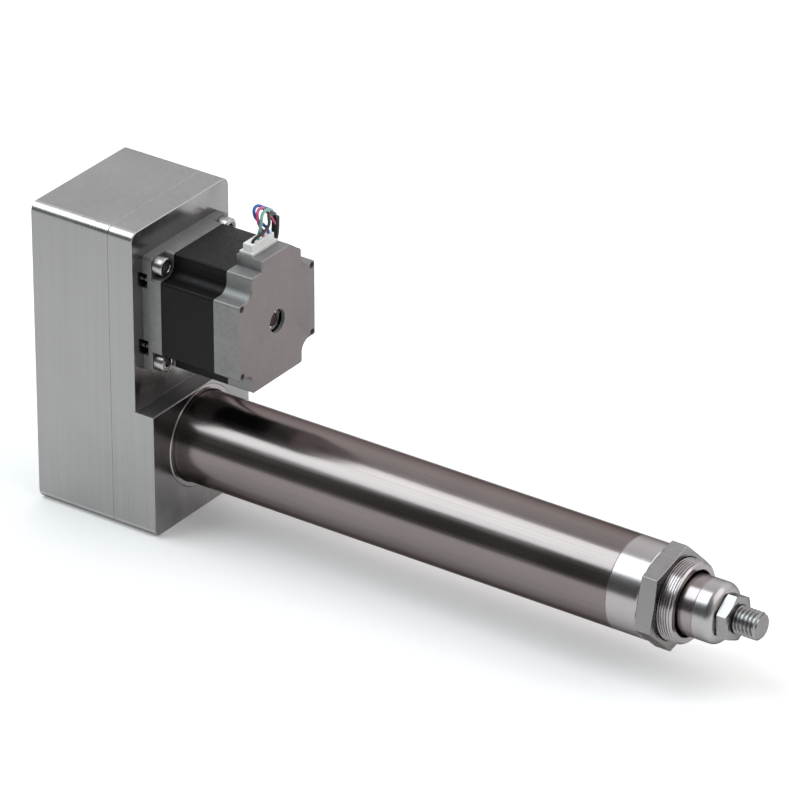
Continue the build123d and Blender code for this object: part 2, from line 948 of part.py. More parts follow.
bell_bearing_x = motor_face_x - pilot_length + bell_bearing_inset
with BuildPart() as motor_front_bell:
    with BuildSketch(Plane.YZ.offset(motor_face_x)):
        with Locations((0, motor_height)):
            RectangleRounded(motor_size, motor_size, lug_corner_radius)
    extrude(amount=lug_length)
    notched_square(motor_face_x + lug_length, bell_length - lug_length)
    turned(
        (motor_face_x - pilot_length, motor_face_x, 0, pilot_radius),
        height=motor_height,
    )
    turned(
        (bell_bearing_x, core_x, 0, motor_bearing_radius + seat_gap),
        (motor_face_x - pilot_length, core_x, 0, shaft_boss_hole_radius),
        (core_x - winding_reach - face_gap, core_x, 0, winding_pocket_radius),
        height=motor_height,
        mode=Mode.SUBTRACT,
    )
    rods(
        motor_face_x,
        motor_face_x + lug_length,
        motor_screw_radius + bolt_gap,
        motor_screw_points,
        mode=Mode.SUBTRACT,
    )
    rods(
        motor_face_x,
        core_x,
        through_bolt_radius + seat_gap,
        through_bolt_points,
        mode=Mode.SUBTRACT,
    )
    for bolt_y, bolt_z in through_bolt_points:
        side = 1 if bolt_y > 0 else -1
        near, far = sorted((side * (motor_half - bolt_notch_reach), side * motor_size))
        blocks(
            motor_face_x,
            motor_face_x + bolt_notch_depth,
            (near, bolt_z - bolt_notch_height / 2),
            (far, bolt_z + bolt_notch_height / 2),
            mode=Mode.SUBTRACT,
        )
keep(motor_front_bell, "motor_front_bell")

with BuildPart() as stator_core:
    notched_square(core_x, core_length)
    turned(
        (core_x, cap_x, 0, rotor_radius + rotor_air_gap),
        height=motor_height,
        mode=Mode.SUBTRACT,
    )
    rods(
        core_x,
        cap_x,
        through_bolt_radius + seat_gap,
        through_bolt_points,
        mode=Mode.SUBTRACT,
    )
keep(stator_core, "stator_core")

with BuildPart() as stator_windings:
    winding_ends = ((core_x - winding_reach, core_x), (cap_x, cap_x + winding_reach))
    for start, end in winding_ends:
        with BuildSketch(Plane.YZ.offset(start)):
            with Locations((0, motor_height)):
                with PolarLocations(winding_radius, winding_count):
                    RectangleRounded(winding_thickness, 2 * winding_thickness, winding_thickness / 3)
        extrude(amount=end - start)
keep(stator_windings, "stator_windings")

rear_bearing_x = motor_rear_x - rear_wall - wave_washer_length - motor_bearing_width
shelf_z = motor_height + motor_half + shelf_height
with BuildPart() as motor_rear_cap:
    notched_square(cap_x, cap_length)
    with BuildSketch(Plane.YZ.offset(cap_x)):
        with BuildLine():
            Polyline(
                (shelf_near_y, motor_height + motor_half - notch_size / 2),
                (shelf_near_y, shelf_z),
                (shelf_far_y, shelf_z),
                (shelf_slope_y, motor_height + motor_half),
                (shelf_slope_y, motor_height + motor_half - notch_size / 2),
                close=True,
            )
        make_face()
    extrude(amount=cap_length)
    chamfer(faces().sort_by(Axis.X)[-1].edges(), edge_break)
    turned(
        (cap_x, cap_x + winding_reach + face_gap, 0, winding_pocket_radius),
        (
            cap_x,
            motor_rear_x - rear_wall,
            0,
            motor_bearing_radius + seat_gap,
        ),
        (cap_x, motor_rear_x, 0, rear_hole_radius),
        height=motor_height,
        mode=Mode.SUBTRACT,
    )
    rods(
        cap_x,
        motor_rear_x,
        through_bolt_radius + seat_gap,
        through_bolt_points,
        mode=Mode.SUBTRACT,
    )
    rods(
        motor_rear_x - through_bolt_recess - through_bolt_head_length,
        motor_rear_x,
        through_bolt_head_radius + seat_gap,
        through_bolt_points,
        mode=Mode.SUBTRACT,
    )
    blocks(
        cap_x,
        cap_x + socket_length,
        (socket_near_y, motor_height + motor_half),
        (socket_far_y, shelf_z),
        mode=Mode.SUBTRACT,
    )
keep(motor_rear_cap, "motor_rear_cap")

with BuildPart() as motor_mount_screws:
    motor_screw_seat_x = motor_face_x + lug_length
    rods(
        motor_screw_seat_x - motor_screw_length,
        motor_screw_seat_x,
        motor_screw_radius,
        motor_screw_points,
    )
    rods(
        motor_screw_seat_x,
        motor_screw_seat_x + motor_screw_head_length,
        motor_screw_head_radius,
        motor_screw_points,
    )
    chamfer(edges().filter_by(GeomType.CIRCLE).group_by(Axis.X)[-1], edge_break)
    hexagons(
        motor_screw_seat_x + motor_screw_head_length / 2,
        motor_screw_seat_x + motor_screw_head_length,
        motor_screw_hex,
        motor_screw_points,
        mode=Mode.SUBTRACT,
    )
keep(motor_mount_screws, "motor_mount_screws")

with BuildPart() as motor_through_bolts:
    bolt_head_x = motor_rear_x - through_bolt_recess - through_bolt_head_length
    rods(motor_face_x + edge_break, bolt_head_x, through_bolt_radius, through_bolt_points)
    rods(
        bolt_head_x,
        bolt_head_x + through_bolt_head_length,
        through_bolt_head_radius,
        through_bolt_points,
    )
keep(motor_through_bolts, "motor_through_bolts")

# Motor bearings
motor_bearing_steps = [
    (bell_bearing_x, bell_bearing_x + motor_bearing_width),
    (rear_bearing_x, rear_bearing_x + motor_bearing_width),
]
motor_ball_radius = (motor_bearing_radius - shaft_radius - 2 * motor_race_thickness) / 2 - running_gap
motor_ball_circle = (motor_bearing_radius + shaft_radius) / 2

with BuildPart() as motor_bearing_outer_rings:
    turned(
        *[
            (rear, front, motor_bearing_radius - motor_race_thickness, motor_bearing_radius)
            for rear, front in motor_bearing_steps
        ],
        height=motor_height,
    )
keep(motor_bearing_outer_rings, "motor_bearing_outer_rings")

with BuildPart() as motor_bearing_balls:
    for rear, front in motor_bearing_steps:
        ring_of_balls(
            (rear + front) / 2,
            motor_ball_circle,
            motor_ball_radius,
            motor_ball_count,
            height=motor_height,
        )
keep(motor_bearing_balls, "motor_bearing_balls")

with BuildPart() as motor_bearing_inner_rings:
    turned(
        *[
            (
                rear,
                front,
                shaft_radius + seat_gap,
                shaft_radius + motor_race_thickness,
            )
            for rear, front in motor_bearing_steps
        ],
        height=motor_height,
    )
keep(motor_bearing_inner_rings, "motor_bearing_inner_rings")

with BuildPart() as wave_washer:
    turned(
        (
            rear_bearing_x + motor_bearing_width,
            motor_rear_x - rear_wall,
            motor_bearing_radius - motor_race_thickness,
            motor_bearing_radius,
        ),
        height=motor_height,
    )
keep(wave_washer, "wave_washer")

# Rotor and everything that turns with it
shaft_rear_x = rear_bearing_x + motor_bearing_width
with BuildPart() as motor_shaft:
    turned((motor_face_x - shaft_reach, shaft_rear_x, 0, shaft_radius), height=motor_height)
    chamfer(edges().filter_by(GeomType.CIRCLE), edge_break)
keep(motor_shaft, "motor_shaft")

rotor_middle_x = (core_x + cap_x) / 2
with BuildPart() as rotor_core:
    turned(
        (
            rotor_middle_x - rotor_core_length / 2,
            rotor_middle_x + rotor_core_length / 2,
            shaft_radius + seat_gap,
            rotor_radius,
        ),
        height=motor_height,
    )
keep(rotor_core, "rotor_core")

drive_hub_front_x = pulley_front_x + drive_hub_length
set_screw_x = drive_hub_front_x - set_screw_offset
with BuildPart() as drive_pulley:
    toothed_wheel(motor_height)
    turned((pulley_front_x, drive_hub_front_x, 0, hub_radius), height=motor_height)
    turned(
        (pulley_rear_x, drive_hub_front_x, 0, shaft_radius + seat_gap),
        height=motor_height,
        mode=Mode.SUBTRACT,
    )
    with BuildSketch(Plane.XY.offset(motor_height)):
        with Locations((set_screw_x, 0)):
            Circle(set_screw_radius + seat_gap)
    extrude(amount=hub_radius, mode=Mode.SUBTRACT)
    with BuildSketch(Plane.XZ):
        with Locations((set_screw_x, motor_height)):
            Circle(set_screw_radius + seat_gap)
    extrude(amount=hub_radius, mode=Mode.SUBTRACT)
keep(drive_pulley, "drive_pulley")

set_screw_tip = shaft_radius + seat_gap
with BuildPart() as pulley_set_screws:
    with BuildSketch(Plane.XY.offset(motor_height + set_screw_tip)):
        with Locations((set_screw_x, 0)):
            Circle(set_screw_radius)
    extrude(amount=set_screw_length)
    with BuildSketch(Plane.XZ.offset(set_screw_tip)):
        with Locations((set_screw_x, motor_height)):
            Circle(set_screw_radius)
    extrude(amount=set_screw_length)
keep(pulley_set_screws, "pulley_set_screws")

# Timing belt, a closed band with teeth on its two straight runs
belt_inner_radius = pulley_radius + belt_running_gap
belt_outer_radius = belt_inner_radius + belt_back
belt_rear_x = belt_front_x - belt_width
belt_teeth_start = motor_height / 2 - (belt_tooth_count - 1) / 2 * tooth_pitch

with BuildPart() as timing_belt:
    with BuildSketch(Plane.YZ.offset(belt_rear_x)):
        for radius, mode in ((belt_outer_radius, Mode.ADD), (belt_inner_radius, Mode.SUBTRACT)):
            with Locations((0, motor_height / 2)):
                Rectangle(2 * radius, motor_height, mode=mode)
            with Locations((0, 0), (0, motor_height)):
                Circle(radius, mode=mode)
        for number in range(belt_tooth_count):
            tooth_z = belt_teeth_start + number * tooth_pitch
            for side in (-1, 1):
                with Locations((side * (belt_inner_radius - belt_tooth_height / 2), tooth_z)):
                    Rectangle(belt_tooth_height, belt_tooth_width)
    extrude(amount=belt_width)
keep(timing_belt, "timing_belt")

# Connector: header, pins and plug
header_floor_z = motor_height + motor_half
header_top_z = shelf_z + header_stand_out
header_rear_x = cap_x + (socket_length - header_length) / 2
plug_top_z = header_floor_z + plug_top
plug_rear_x = header_rear_x + header_length - plug_length - header_wall
pin_x = plug_rear_x + plug_length / 2
pin_places = [(number - (pin_count - 1) / 2) * pin_pitch for number in range(pin_count)]

with BuildPart() as connector_header:
    blocks(
        header_rear_x,
        header_rear_x + header_length,
        (socket_near_y + seat_gap, header_floor_z),
        (socket_far_y - seat_gap, header_top_z),
    )
    blocks(
        plug_rear_x - seat_gap,
        plug_rear_x + plug_length + seat_gap,
        (socket_near_y + header_wall, header_floor_z + header_wall),
        (socket_far_y - header_wall, header_top_z),
        mode=Mode.SUBTRACT,
    )
    for pin_y in pin_places:
        blocks(
            pin_x - pin_width / 2 - seat_gap,
            pin_x + pin_width / 2 + seat_gap,
            (pin_y - pin_width / 2 - seat_gap, header_floor_z),
            (pin_y + pin_width / 2 + seat_gap, header_floor_z + header_wall),
            mode=Mode.SUBTRACT,
        )
keep(connector_header, "connector_header")

pin_top_z = header_top_z - header_wall
with BuildPart() as header_pins:
    for pin_y in pin_places:
        blocks(
            pin_x - pin_width / 2,
            pin_x + pin_width / 2,
            (pin_y - pin_width / 2, header_floor_z),
            (pin_y + pin_width / 2, pin_top_z),
        )
keep(header_pins, "header_pins")

with BuildPart() as connector_plug:
    blocks(
        plug_rear_x,
        plug_rear_x + plug_length,
        (socket_near_y + header_wall + seat_gap, header_floor_z + header_wall + seat_gap),
        (socket_far_y - header_wall - seat_gap, plug_top_z),
    )
    for pin_y in pin_places:
        blocks(
            pin_x - pin_width / 2 - seat_gap,
            pin_x + pin_width / 2 + seat_gap,
            (pin_y - pin_width / 2 - seat_gap, header_floor_z),
            (pin_y + pin_width / 2 + seat_gap, pin_top_z + seat_gap),
            mode=Mode.SUBTRACT,
        )
keep(connector_plug, "connector_plug")


# Leads and sleeve: straight runs joined by arcs as large as their runs allow
def corner_radii(points):
    """The radius at each corner: 0.45 of the shorter run over the tangent of half the turn."""
    radii = []
    for before, corner, after in zip(points, points[1:], points[2:]):
        run_in = Vector(*corner) - Vector(*before)
        run_out = Vector(*after) - Vector(*corner)
        shorter = min(run_in.length, run_out.length)
        radii.append(0.45 * shorter / tan(radians(run_in.get_angle(run_out) / 2)))
    return radii


def cord(label, points, radius):
    """A round cord along a route, kept as its own piece."""
    radii = corner_radii(points)
    with BuildPart() as piece:
        with BuildLine() as route:
            FilletPolyline(*points, radius=radii)
        start = Plane(origin=points[0], z_dir=Vector(*points[1]) - Vector(*points[0]))
        with BuildSketch(start) as section:
            Circle(radius)
        sweep(path=route.wires()[0])
    length = route.wires()[0].length
    print(label, "corner radii", [round(value, 1) for value in radii])
    print(label, "length", round(length, 1), "section times length", round(section.sketch.area * length, 1))
    print(label, "volume", round(piece.part.volume, 1))
    keep(piece, label)


lead_routes = {
    "lead_blue": [
        (-222.6, 5.9, 108.0),
        (-222.6, 5.9, 109.8),
        (-224.7, 3.9, 113.4),
        (-226.0, 1.0, 117.0),
        (-226.5, 0.3, 120.2),
        (-227.0, 2.6, 122.2),
        (-227.6, 6.6, 120.6),
        (-228.2, 10.6, 117.6),
        (-228.8, 15.0, 114.1),
        (-230.8, 22.3, 110.4),
        (-230.8, 22.3, 105.4),
    ],
    "lead_red": [
        (-222.6, 2.0, 108.0),
        (-222.6, 2.0, 109.8),
        (-223.8, 0.2, 113.4),
        (-224.4, -0.3, 117.1),
        (-224.9, 0.7, 119.8),
        (-225.5, 3.4, 120.6),
        (-226.1, 6.9, 118.8),
        (-226.7, 10.8, 116.3),
        (-227.2, 15.0, 114.1),
        (-229.3, 22.3, 110.4),
        (-229.3, 22.3, 105.4),
    ],
    "lead_green": [
        (-222.6, -1.9, 108.0),
        (-222.6, -1.9, 110.2),
        (-222.2, -0.8, 113.3),
        (-222.7, 0.5, 116.3),
        (-223.9, 3.4, 117.8),
        (-226.4, 8.4, 116.0),
        (-228.8, 14.2, 112.7),
        (-230.8, 20.7, 109.6),
        (-230.8, 20.7, 105.4),
    ],
    "lead_black": [
        (-222.6, -5.8, 108.0),
        (-222.6, -5.8, 109.9),
        (-220.9, -3.2, 111.6),
        (-220.4, 0.6, 112.2),
        (-221.0, 4.0, 113.6),
        (-222.5, 7.6, 115.2),
        (-224.8, 10.6, 114.6),
        (-227.2, 14.2, 112.7),
        (-229.3, 20.7, 109.6),
        (-229.3, 20.7, 105.4),
    ],
}
for lead_label, lead_points in lead_routes.items():
    cord(lead_label, lead_points, lead_radius)

coil_bottom_z = housing_bottom_z + coil_lift
sleeve_line_z = coil_bottom_z + sleeve_radius
coil_entry_x = sleeve_drop_x + sleeve_landing_reach
sleeve_route = [
    (-230.05, 21.5, 105.4),
    (-230.05, 21.5, 99.9),
    (-232.9, 21.6, 94.4),
    (-238.0, 22.2, 91.3),
    (-243.8, 24.3, 91.2),
    (-248.5, 28.9, 91.6),
    (-252.0, 33.0, 87.9),
    (-253.5, 34.6, 81.5),
    (-253.4, 34.5, 72.4),
    (-253.6, 33.5, 56.0),
    (-253.3, 32.7, 28.0),
    (-253.6, 31.6, 2.0),
    (sleeve_drop_x, sleeve_drop_y, -11.0),
    (sleeve_drop_x, 31.3, -22.4),
    (-249.2, sleeve_drop_y, -29.8),
    (-241.8, sleeve_drop_y, sleeve_line_z),
    (coil_entry_x, sleeve_drop_y, sleeve_line_z),
]
cord("cable_sleeve", sleeve_route, sleeve_radius)

# The coil, two turns wide and two high, with a straight stub at each end of the sleeve
outer_turn_radius = coil_middle_radius + sleeve_radius
coil_middle_x = coil_entry_x + coil_entry_length
coil_middle_y = sleeve_drop_y + outer_turn_radius
upper_layer_z = coil_bottom_z + 2 * sleeve_radius
coil_exit_x = coil_middle_x + coil_exit_length
coil_stubs = (
    (coil_entry_x, coil_middle_x, coil_bottom_z),
    (coil_middle_x, coil_exit_x, upper_layer_z),
)
with BuildPart() as cable_coil:
    with BuildSketch(Plane.XY.offset(coil_bottom_z)):
        with Locations((coil_middle_x, coil_middle_y)):
            Circle(coil_middle_radius + 2 * sleeve_radius)
            Circle(coil_middle_radius - 2 * sleeve_radius, mode=Mode.SUBTRACT)
    extrude(amount=4 * sleeve_radius)
    for stub_start, stub_end, stub_z in coil_stubs:
        blocks(
            stub_start,
            stub_end,
            (sleeve_drop_y - sleeve_radius, stub_z),
            (sleeve_drop_y + sleeve_radius, stub_z + 2 * sleeve_radius),
        )
keep(cable_coil, "cable_coil")

tie_inner_height = 4 * sleeve_radius + tie_gap
tie_middle_z = coil_bottom_z + tie_inner_height / 2
with BuildPart() as coil_ties:
    for tie_turn in tie_turns:
        outward = Vector(1, 0, 0).rotate(Axis.Z, tie_turn)
        middle = Vector(coil_middle_x, coil_middle_y, tie_middle_z) + outward * coil_middle_radius
        across = Plane(origin=middle, x_dir=outward, z_dir=outward.cross(Vector(0, 0, 1)))
        with BuildSketch(across):
            Rectangle(4 * sleeve_radius + 2 * tie_gap + 2 * coil_lift, tie_inner_height + 2 * coil_lift)
            Rectangle(4 * sleeve_radius + 2 * tie_gap, tie_inner_height, mode=Mode.SUBTRACT)
        extrude(amount=tie_width / 2, both=True)
keep(coil_ties, "coil_ties")

with BuildPart() as cable_end_plug:
    blocks(
        coil_exit_x,
        coil_exit_x + end_plug_length,
        (sleeve_drop_y - end_plug_width / 2, housing_bottom_z),
        (sleeve_drop_y + end_plug_width / 2, housing_bottom_z + end_plug_height),
    )
    chamfer(edges().filter_by(Axis.X), edge_break)
keep(cable_end_plug, "cable_end_plug")
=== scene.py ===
"""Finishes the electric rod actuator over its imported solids: turned and threaded pieces, softened
edges, brushed and cast metals, leads, cable and a plain studio. Lengths in the outlines are in
millimetres in the part's frame: the rod runs along X, the motor stands above the tube."""

import math

import bmesh
import bpy
from mathutils import Matrix, Vector


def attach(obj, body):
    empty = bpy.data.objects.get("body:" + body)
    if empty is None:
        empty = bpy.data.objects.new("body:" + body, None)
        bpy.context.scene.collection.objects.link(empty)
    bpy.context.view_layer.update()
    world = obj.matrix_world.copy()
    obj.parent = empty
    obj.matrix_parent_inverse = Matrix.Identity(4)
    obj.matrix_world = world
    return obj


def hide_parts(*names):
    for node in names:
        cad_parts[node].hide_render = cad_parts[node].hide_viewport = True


bl_info = {
    "name": "Electric rod actuator",
    "version": (1, 0, 0),
    "blender": (4, 5, 0),
    "location": "3D View > Sidebar > Actuator",
    "description": "Turned, brushed and threaded looks for an electric rod actuator with its motor and leads",
    "category": "Object",
}

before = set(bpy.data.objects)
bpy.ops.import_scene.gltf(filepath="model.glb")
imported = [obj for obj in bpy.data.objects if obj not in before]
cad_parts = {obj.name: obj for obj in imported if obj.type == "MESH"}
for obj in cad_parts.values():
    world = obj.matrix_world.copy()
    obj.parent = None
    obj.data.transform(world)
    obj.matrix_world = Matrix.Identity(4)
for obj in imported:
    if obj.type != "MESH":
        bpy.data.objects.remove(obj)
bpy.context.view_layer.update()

MM = 0.001
AROUND = 128  # steps of a turned piece
WELD = 0.0005  # how near two corners are merged, in millimetres

# Places along X, radii and lengths of the pieces that are made anew, in millimetres
TUBE_REAR, TUBE_FRONT = -264.05, -27.05
TUBE_BORE, TUBE_RADIUS = 18.9, 21.3
SPIGOT_REAR, SPIGOT_RADIUS = -44.05, 18.85
HEAD_SEAL_REAR, HEAD_SEAL_FRONT, HEAD_SEAL_RADIUS = -37.05, -34.05, 17.1
HEAD_BORE, NOSE_MOUTH, WIPER_FRONT = 15.9, 15.0, -0.45
SHOULDER, NUT_FACE, NOSE_FACE = -11.55, -3.15, 4.15
NOSE_PITCH_RADIUS, NOSE_RADIUS, NOSE_CHAMFER = 18.1, 18.5, 1.0
ROD_REAR, ROD_FRONT, ROD_FACE = -214.05, 11.45, 20.85
ROD_RADIUS, ROD_BORE = 13.9, 9.2
CAP_PLUG_REAR, CAP_PLUG_RADIUS, CAP_ROUNDING = -8.55, 9.17, 3.9
STUD_REAR, JAM_FACE, STUD_FRONT = 6.85, 26.85, 38.45
STUD_HOLE, STUD_PITCH_RADIUS, STUD_RADIUS, STUD_CHAMFER = 5.73, 5.7, 6.35, 1.0
MOTOR_HEIGHT = 70.0
SCREW_SEAT, SCREW_OFFSET = -261.05, 23.57
SCREW_LENGTH, SCREW_RADIUS = 16.0, 2.5
SCREW_HEAD_LENGTH, SCREW_HEAD_RADIUS = 5.0, 4.25
SCREW_HEX, SCREW_HEX_DEPTH = 4.0, 2.25
FLOOR = -36.55

# Routes of the four leads, from the plug into the sleeve, and of the sleeve and its coil, in millimetres
LEADS = {
    "lead_blue": (
        (-222.6, 5.9, 108.0), (-222.4, 5.9, 109.6), (-223.5, 4.8, 111.7), (-225.2, 3.0, 114.0),
        (-226.5, 1.5, 116.3), (-227.4, 1.8, 119.0), (-228.0, 3.8, 120.2), (-228.5, 7.4, 119.2),
        (-229.5, 11.9, 116.0), (-230.8, 17.0, 112.9), (-231.1, 21.3, 110.1), (-230.8, 22.2, 105.0),
    ),
    "lead_red": (
        (-222.6, 2.0, 108.0), (-222.5, 2.3, 109.7), (-223.2, 1.8, 111.5), (-224.2, 1.1, 113.9),
        (-224.9, 1.1, 116.6), (-225.6, 2.0, 118.6), (-226.3, 4.5, 119.3), (-227.1, 7.9, 118.1),
        (-228.1, 11.2, 115.3), (-228.6, 14.2, 112.6), (-229.1, 16.5, 109.8), (-229.5, 18.9, 106.9),
        (-229.7, 21.3, 103.4),
    ),
    "lead_green": (
        (-222.6, -1.9, 108.0), (-222.8, -1.2, 109.5), (-222.6, -0.3, 111.8), (-222.5, 0.8, 114.8),
        (-223.6, 2.5, 117.1), (-225.0, 5.8, 117.7), (-226.3, 11.2, 116.4), (-228.8, 16.6, 112.9),
        (-230.9, 19.8, 108.7), (-230.8, 20.8, 105.0),
    ),
    "lead_black": (
        (-222.6, -5.8, 108.0), (-222.5, -5.1, 109.3), (-221.6, -3.4, 110.3), (-220.9, -0.8, 111.0),
        (-221.1, 2.5, 111.5), (-222.0, 6.0, 112.4), (-224.2, 8.8, 113.4), (-226.7, 11.5, 113.7),
        (-227.1, 16.2, 112.2), (-229.3, 20.6, 109.4), (-229.4, 20.8, 105.0),
    ),
}
# In metres, as measured on the splines
SLEEVE = (
    (-230.05, 21.5, 107.5), (-230.05, 21.5, 101.0), (-231.6, 22.0, 95.2), (-234.9, 24.2, 91.2),
    (-238.6, 28.0, 91.0), (-240.6, 31.0, 87.6), (-245.0, 31.2, 82.5), (-248.5, 31.4, 72.0),
    (-254.5, 33.2, 56.0), (-259.3, 36.6, 38.0), (-260.3, 38.0, 22.0), (-260.2, 37.8, 4.0),
    (-260.0, 37.8, -10.0), (-259.8, 37.8, -22.0), (-256.5, 37.2, -30.5), (-249.5, 35.2, -34.1),
    (-241.5, 32.4, -34.1), (-233.2, 31.5, -34.1),
)
COIL_MIDDLE, COIL_RADIUS, COIL_HEIGHT = (-220.2, 51.75), 20.25, -34.1
CABLE_OUT = ((-214.5, 31.5, -27.4), (-209.0, 31.5, -30.2), (-203.7, 31.5, -30.6))


class ActuatorSizes(bpy.types.PropertyGroup):
    """Sizes of the details that the solids leave plain."""

    nose_pitch: bpy.props.FloatProperty(
        name="Nose thread pitch", description="Distance between two turns of the nose's fine thread",
        default=0.00127, min=0.0008, max=0.002, unit="LENGTH", precision=5)
    stud_pitch: bpy.props.FloatProperty(
        name="Stud thread pitch", description="Distance between two turns of the stud's coarse thread",
        default=0.001954, min=0.001, max=0.003, unit="LENGTH", precision=5)
    edge_softness: bpy.props.FloatProperty(
        name="Edge rounding", description="Width of the small rounding on machined edges",
        default=0.00025, min=0.00005, max=0.001, unit="LENGTH", precision=5)
    lead_diameter: bpy.props.FloatProperty(
        name="Lead diameter", description="Outside diameter of each coloured lead",
        default=0.0014, min=0.001, max=0.002, unit="LENGTH", precision=5)
    cable_diameter: bpy.props.FloatProperty(
        name="Cable diameter", description="Outside diameter of the black sleeve round the four leads",
        default=0.0035, min=0.003, max=0.004, unit="LENGTH", precision=5)


def colour_setting(name, description, value):
    """A colour that the user may change."""
    return bpy.props.FloatVectorProperty(
        name=name, description=description, subtype="COLOR", size=3, min=0, max=1, default=value)


class ActuatorColours(bpy.types.PropertyGroup):
    """Colours of the metals, the plastics and the leads."""

    housing: colour_setting("Housing", "Satin aluminium of the belt housing", (0.37, 0.363, 0.363))
    tube: colour_setting("Tube", "Brushed stainless steel of the outer tube", (0.21, 0.182, 0.178))
    head: colour_setting("Head", "Turned aluminium of the front head", (0.40, 0.376, 0.38))
    zinc: colour_setting("Zinc", "Zinc plated steel of the nuts and the stud", (0.30, 0.29, 0.29))
    rod: colour_setting("Rod", "Ground stainless steel of the rod", (0.29, 0.255, 0.26))
    cap: colour_setting("End cap", "Turned steel of the rod's end cap", (0.40, 0.385, 0.39))
    # The motor colour's pink tint, shown on the faced ends, is a painted reflection of the surroundings; the
    # cast sides take a grey from it
    motor: colour_setting("Motor", "Cast and faced aluminium of the motor's end pieces", (0.235, 0.21, 0.213))
    laminations: colour_setting("Laminations", "Blackened steel stack of the motor", (0.005, 0.0045, 0.005))
    screws: colour_setting("Screws", "Bright steel of the socket screws", (0.42, 0.40, 0.40))
    connector: colour_setting("Connector", "Nylon of the connector", (0.74, 0.755, 0.745))
    blue: colour_setting("Blue lead", "Insulation of the blue lead", (0.02, 0.09, 0.38))
    red: colour_setting("Red lead", "Insulation of the red lead", (0.55, 0.06, 0.18))
    green: colour_setting("Green lead", "Insulation of the green lead", (0.14, 0.38, 0.33))
    black: colour_setting(
        "Black lead", "Insulation of the black lead and of the sleeve", (0.012, 0.012, 0.013))


# Finishes


def shader(name):
    """A new material with the object's coordinates ready for its pattern."""
    material = bpy.data.materials.new(name)
    material.use_nodes = True
    tree = material.node_tree
    surface = tree.nodes["Principled BSDF"]
    place = tree.nodes.new("ShaderNodeTexCoord")
    return material, tree, surface, place.outputs["Object"]


def pattern(tree, place, scale, detail):
    """Noise stretched by a scale along each axis, in repeats per metre."""
    stretch = tree.nodes.new("ShaderNodeMapping")
    stretch.inputs["Scale"].default_value = scale
    tree.links.new(place, stretch.inputs["Vector"])
    noise = tree.nodes.new("ShaderNodeTexNoise")
    noise.inputs["Scale"].default_value = 1.0
    noise.inputs["Detail"].default_value = detail
    noise.inputs["Roughness"].default_value = 0.6
    tree.links.new(stretch.outputs["Vector"], noise.inputs["Vector"])
    return noise.outputs["Fac"]


def spread(tree, value, low, high):
    """The noise's middle range spread between two values."""
    ranged = tree.nodes.new("ShaderNodeMapRange")
    ranged.inputs["From Min"].default_value = 0.3
    ranged.inputs["From Max"].default_value = 0.7
    ranged.inputs["To Min"].default_value = low
    ranged.inputs["To Max"].default_value = high
    tree.links.new(value, ranged.inputs["Value"])
    return ranged.outputs["Result"]


def tinted(tree, value, dark, light):
    """A colour between two, chosen by the noise."""
    ramp = tree.nodes.new("ShaderNodeValToRGB")
    ramp.color_ramp.elements[0].position = 0.3
    ramp.color_ramp.elements[0].color = (*dark, 1.0)
    ramp.color_ramp.elements[1].position = 0.7
    ramp.color_ramp.elements[1].color = (*light, 1.0)
    tree.links.new(value, ramp.inputs["Fac"])
    return ramp.outputs["Color"]


def raised(tree, value, depth):
    """Relief of this depth in metres."""
    bump = tree.nodes.new("ShaderNodeBump")
    bump.inputs["Strength"].default_value = 1.0
    bump.inputs["Distance"].default_value = depth
    tree.links.new(value, bump.inputs["Height"])
    return bump.outputs["Normal"]


def shade(colour, factor):
    """The colour made lighter or darker."""
    return tuple(min(1.0, c * factor) for c in colour)


def added(tree, first, second, share):
    """Two noises mixed, the second with this share."""
    mix = tree.nodes.new("ShaderNodeMix")
    mix.inputs["Factor"].default_value = share
    tree.links.new(first, mix.inputs["A"])
    tree.links.new(second, mix.inputs["B"])
    return mix.outputs["Result"]


def worked_metal(name, colour, roughness, grain, depth, contrast, blotch, vary=0.07, metallic=1.0):
    """Metal with tool or brush marks along the axes where the grain's scale is small, and with larger
    blotches. Its tone changes by the contrast and its roughness by as much as it may vary."""
    material, tree, surface, place = shader(name)
    marks = pattern(tree, place, grain, 5.0)
    cloud = pattern(tree, place, (blotch, blotch, blotch), 2.0)
    both = added(tree, marks, cloud, 0.5)
    links = tree.links
    links.new(
        tinted(tree, both, shade(colour, 1 - contrast), shade(colour, 1 + contrast)),
        surface.inputs["Base Color"])
    links.new(
        spread(tree, both, max(0.04, roughness - vary), roughness + vary), surface.inputs["Roughness"])
    links.new(raised(tree, marks, depth), surface.inputs["Normal"])
    surface.inputs["Metallic"].default_value = metallic
    surface.inputs["Specular Tint"].default_value = (0.32, 0.30, 0.30, 1.0)
    return material


def moulded(name, colour, roughness, grain, depth=0.00001, contrast=0.06):
    """Plastic, rubber or painted steel with a fine even texture."""
    material, tree, surface, place = shader(name)
    fine = pattern(tree, place, (grain, grain, grain), 3.0)
    tree.links.new(
        tinted(tree, fine, shade(colour, 1 - contrast), shade(colour, 1 + contrast)),
        surface.inputs["Base Color"])
    tree.links.new(spread(tree, fine, roughness - 0.05, roughness + 0.05), surface.inputs["Roughness"])
    tree.links.new(raised(tree, fine, depth), surface.inputs["Normal"])
    return material


